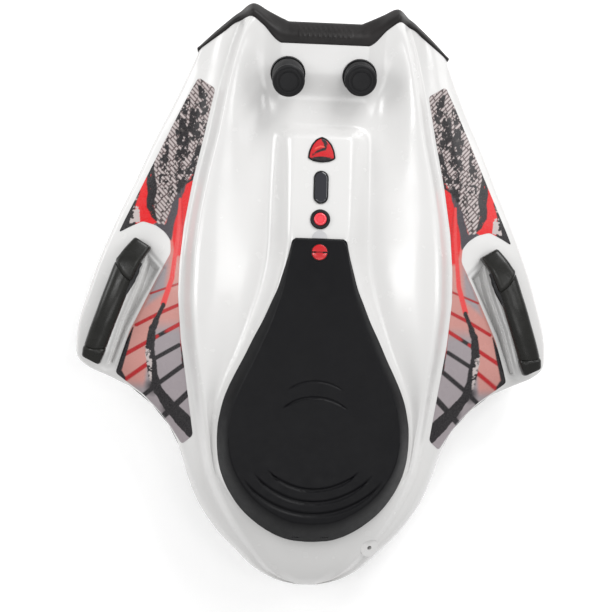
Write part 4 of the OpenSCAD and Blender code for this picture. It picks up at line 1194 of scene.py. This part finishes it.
KEPT = {
    white: ["tail_insert"],
    seal_foam: ["lid_seal", "perimeter_gasket"],
    steel: ["lid_hinge_pin", "shell_screws", "grip_screws", "bumper_screws", "trigger_pins",
            "motor_bearings"] + both("shaft", "trigger_spring"),
    aluminium: both("motor", "controller"),
    brass: ["bay_connector"] + both("prop_nut"),
    black_plastic: ["lid_hinge_brackets", "lock_socket", "battery_tray", "battery_pack", "keel_skids",
                    "button_switch"] + both("duct", "grille", "propeller"),
    grip_rubber: ["battery_handle"],
    grey_plastic: ["finger_notch"],
    board_green: ["display_board"],
    cable_jacket: ["phase_cables"],
}
for shader, names in KEPT.items():
    for name in names:
        paint(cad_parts[name], shader)

# ---- camera, floor and light ----


def add_camera():
    """Camera at the photo's angle, fitted to the outline and the grips."""
    cam = bpy.data.objects.new("camera", bpy.data.cameras.new("camera"))
    bpy.context.scene.collection.objects.link(cam)
    cam.data.lens, cam.data.sensor_width = 68.3, 36
    cam.location = (-0.1107, -0.0269, 1.917)
    tilt = Matrix.Rotation(-0.05380, 3, "Y") @ Matrix.Rotation(0.00829, 3, "X")
    cam.rotation_euler = (Matrix.Rotation(0.02963, 3, "Z") @ tilt).to_euler()
    bpy.context.scene.camera = cam


def add_area(name, where, size, power, target=(0, 0, 0.12)):
    light = bpy.data.lights.new(name, "AREA")
    light.shape, light.size, light.size_y, light.energy = "RECTANGLE", size[0], size[1], power
    obj = bpy.data.objects.new(name, light)
    obj.location = where
    obj.rotation_euler = (Vector(target) - Vector(where)).to_track_quat("-Z", "Y").to_euler()
    bpy.context.scene.collection.objects.link(obj)


add_camera()
FLOOR_HALF, FLOOR_Z = 4000, -0.4
floor_corners = at_height(box_points(-FLOOR_HALF, FLOOR_HALF, -FLOOR_HALF, FLOOR_HALF), FLOOR_Z)
floor = new_mesh("floor", floor_corners, [(0, 1, 2, 3)], smooth=False)
backdrop = Shader("floor_paper", (0.97, 0.97, 0.97), 0.9)
backdrop.set("Emission Color", (1, 1, 1, 1))
backdrop.set("Emission Strength", 0.14)
backdrop.vary_rough(backdrop.noise(0.05, 3), 0.85, 0.95)
paint(floor, backdrop)
world = bpy.data.worlds.new("studio")
bpy.context.scene.world = world
world.use_nodes = True
sky = world.node_tree.nodes["Background"].inputs
sky["Color"].default_value = (1, 1, 1, 1)
sky["Strength"].default_value = 0.58
# name, place, size, watts
add_area("key", (0.9, 1.9, 1.6), (1.0, 1.0), 29)
add_area("side", (1.45, 0.8, 1.6), (0.9, 0.9), 8)
add_area("left_fill", (-1.9, 0.7, 1.1), (1.0, 0.8), 14)
add_area("rear_sheen", (0.12, -0.7, 2.1), (0.9, 0.35), 3.0)
add_area("grip_sheen_left", (-0.6, 0.05, 2.35), (0.24, 0.6), 4.5, (-0.32, 0, 0.14))
add_area("grip_sheen_right", (0.84, 0.05, 2.35), (0.24, 0.6), 3.0, (0.32, 0, 0.14))
bpy.context.scene.view_settings.view_transform = "Standard"
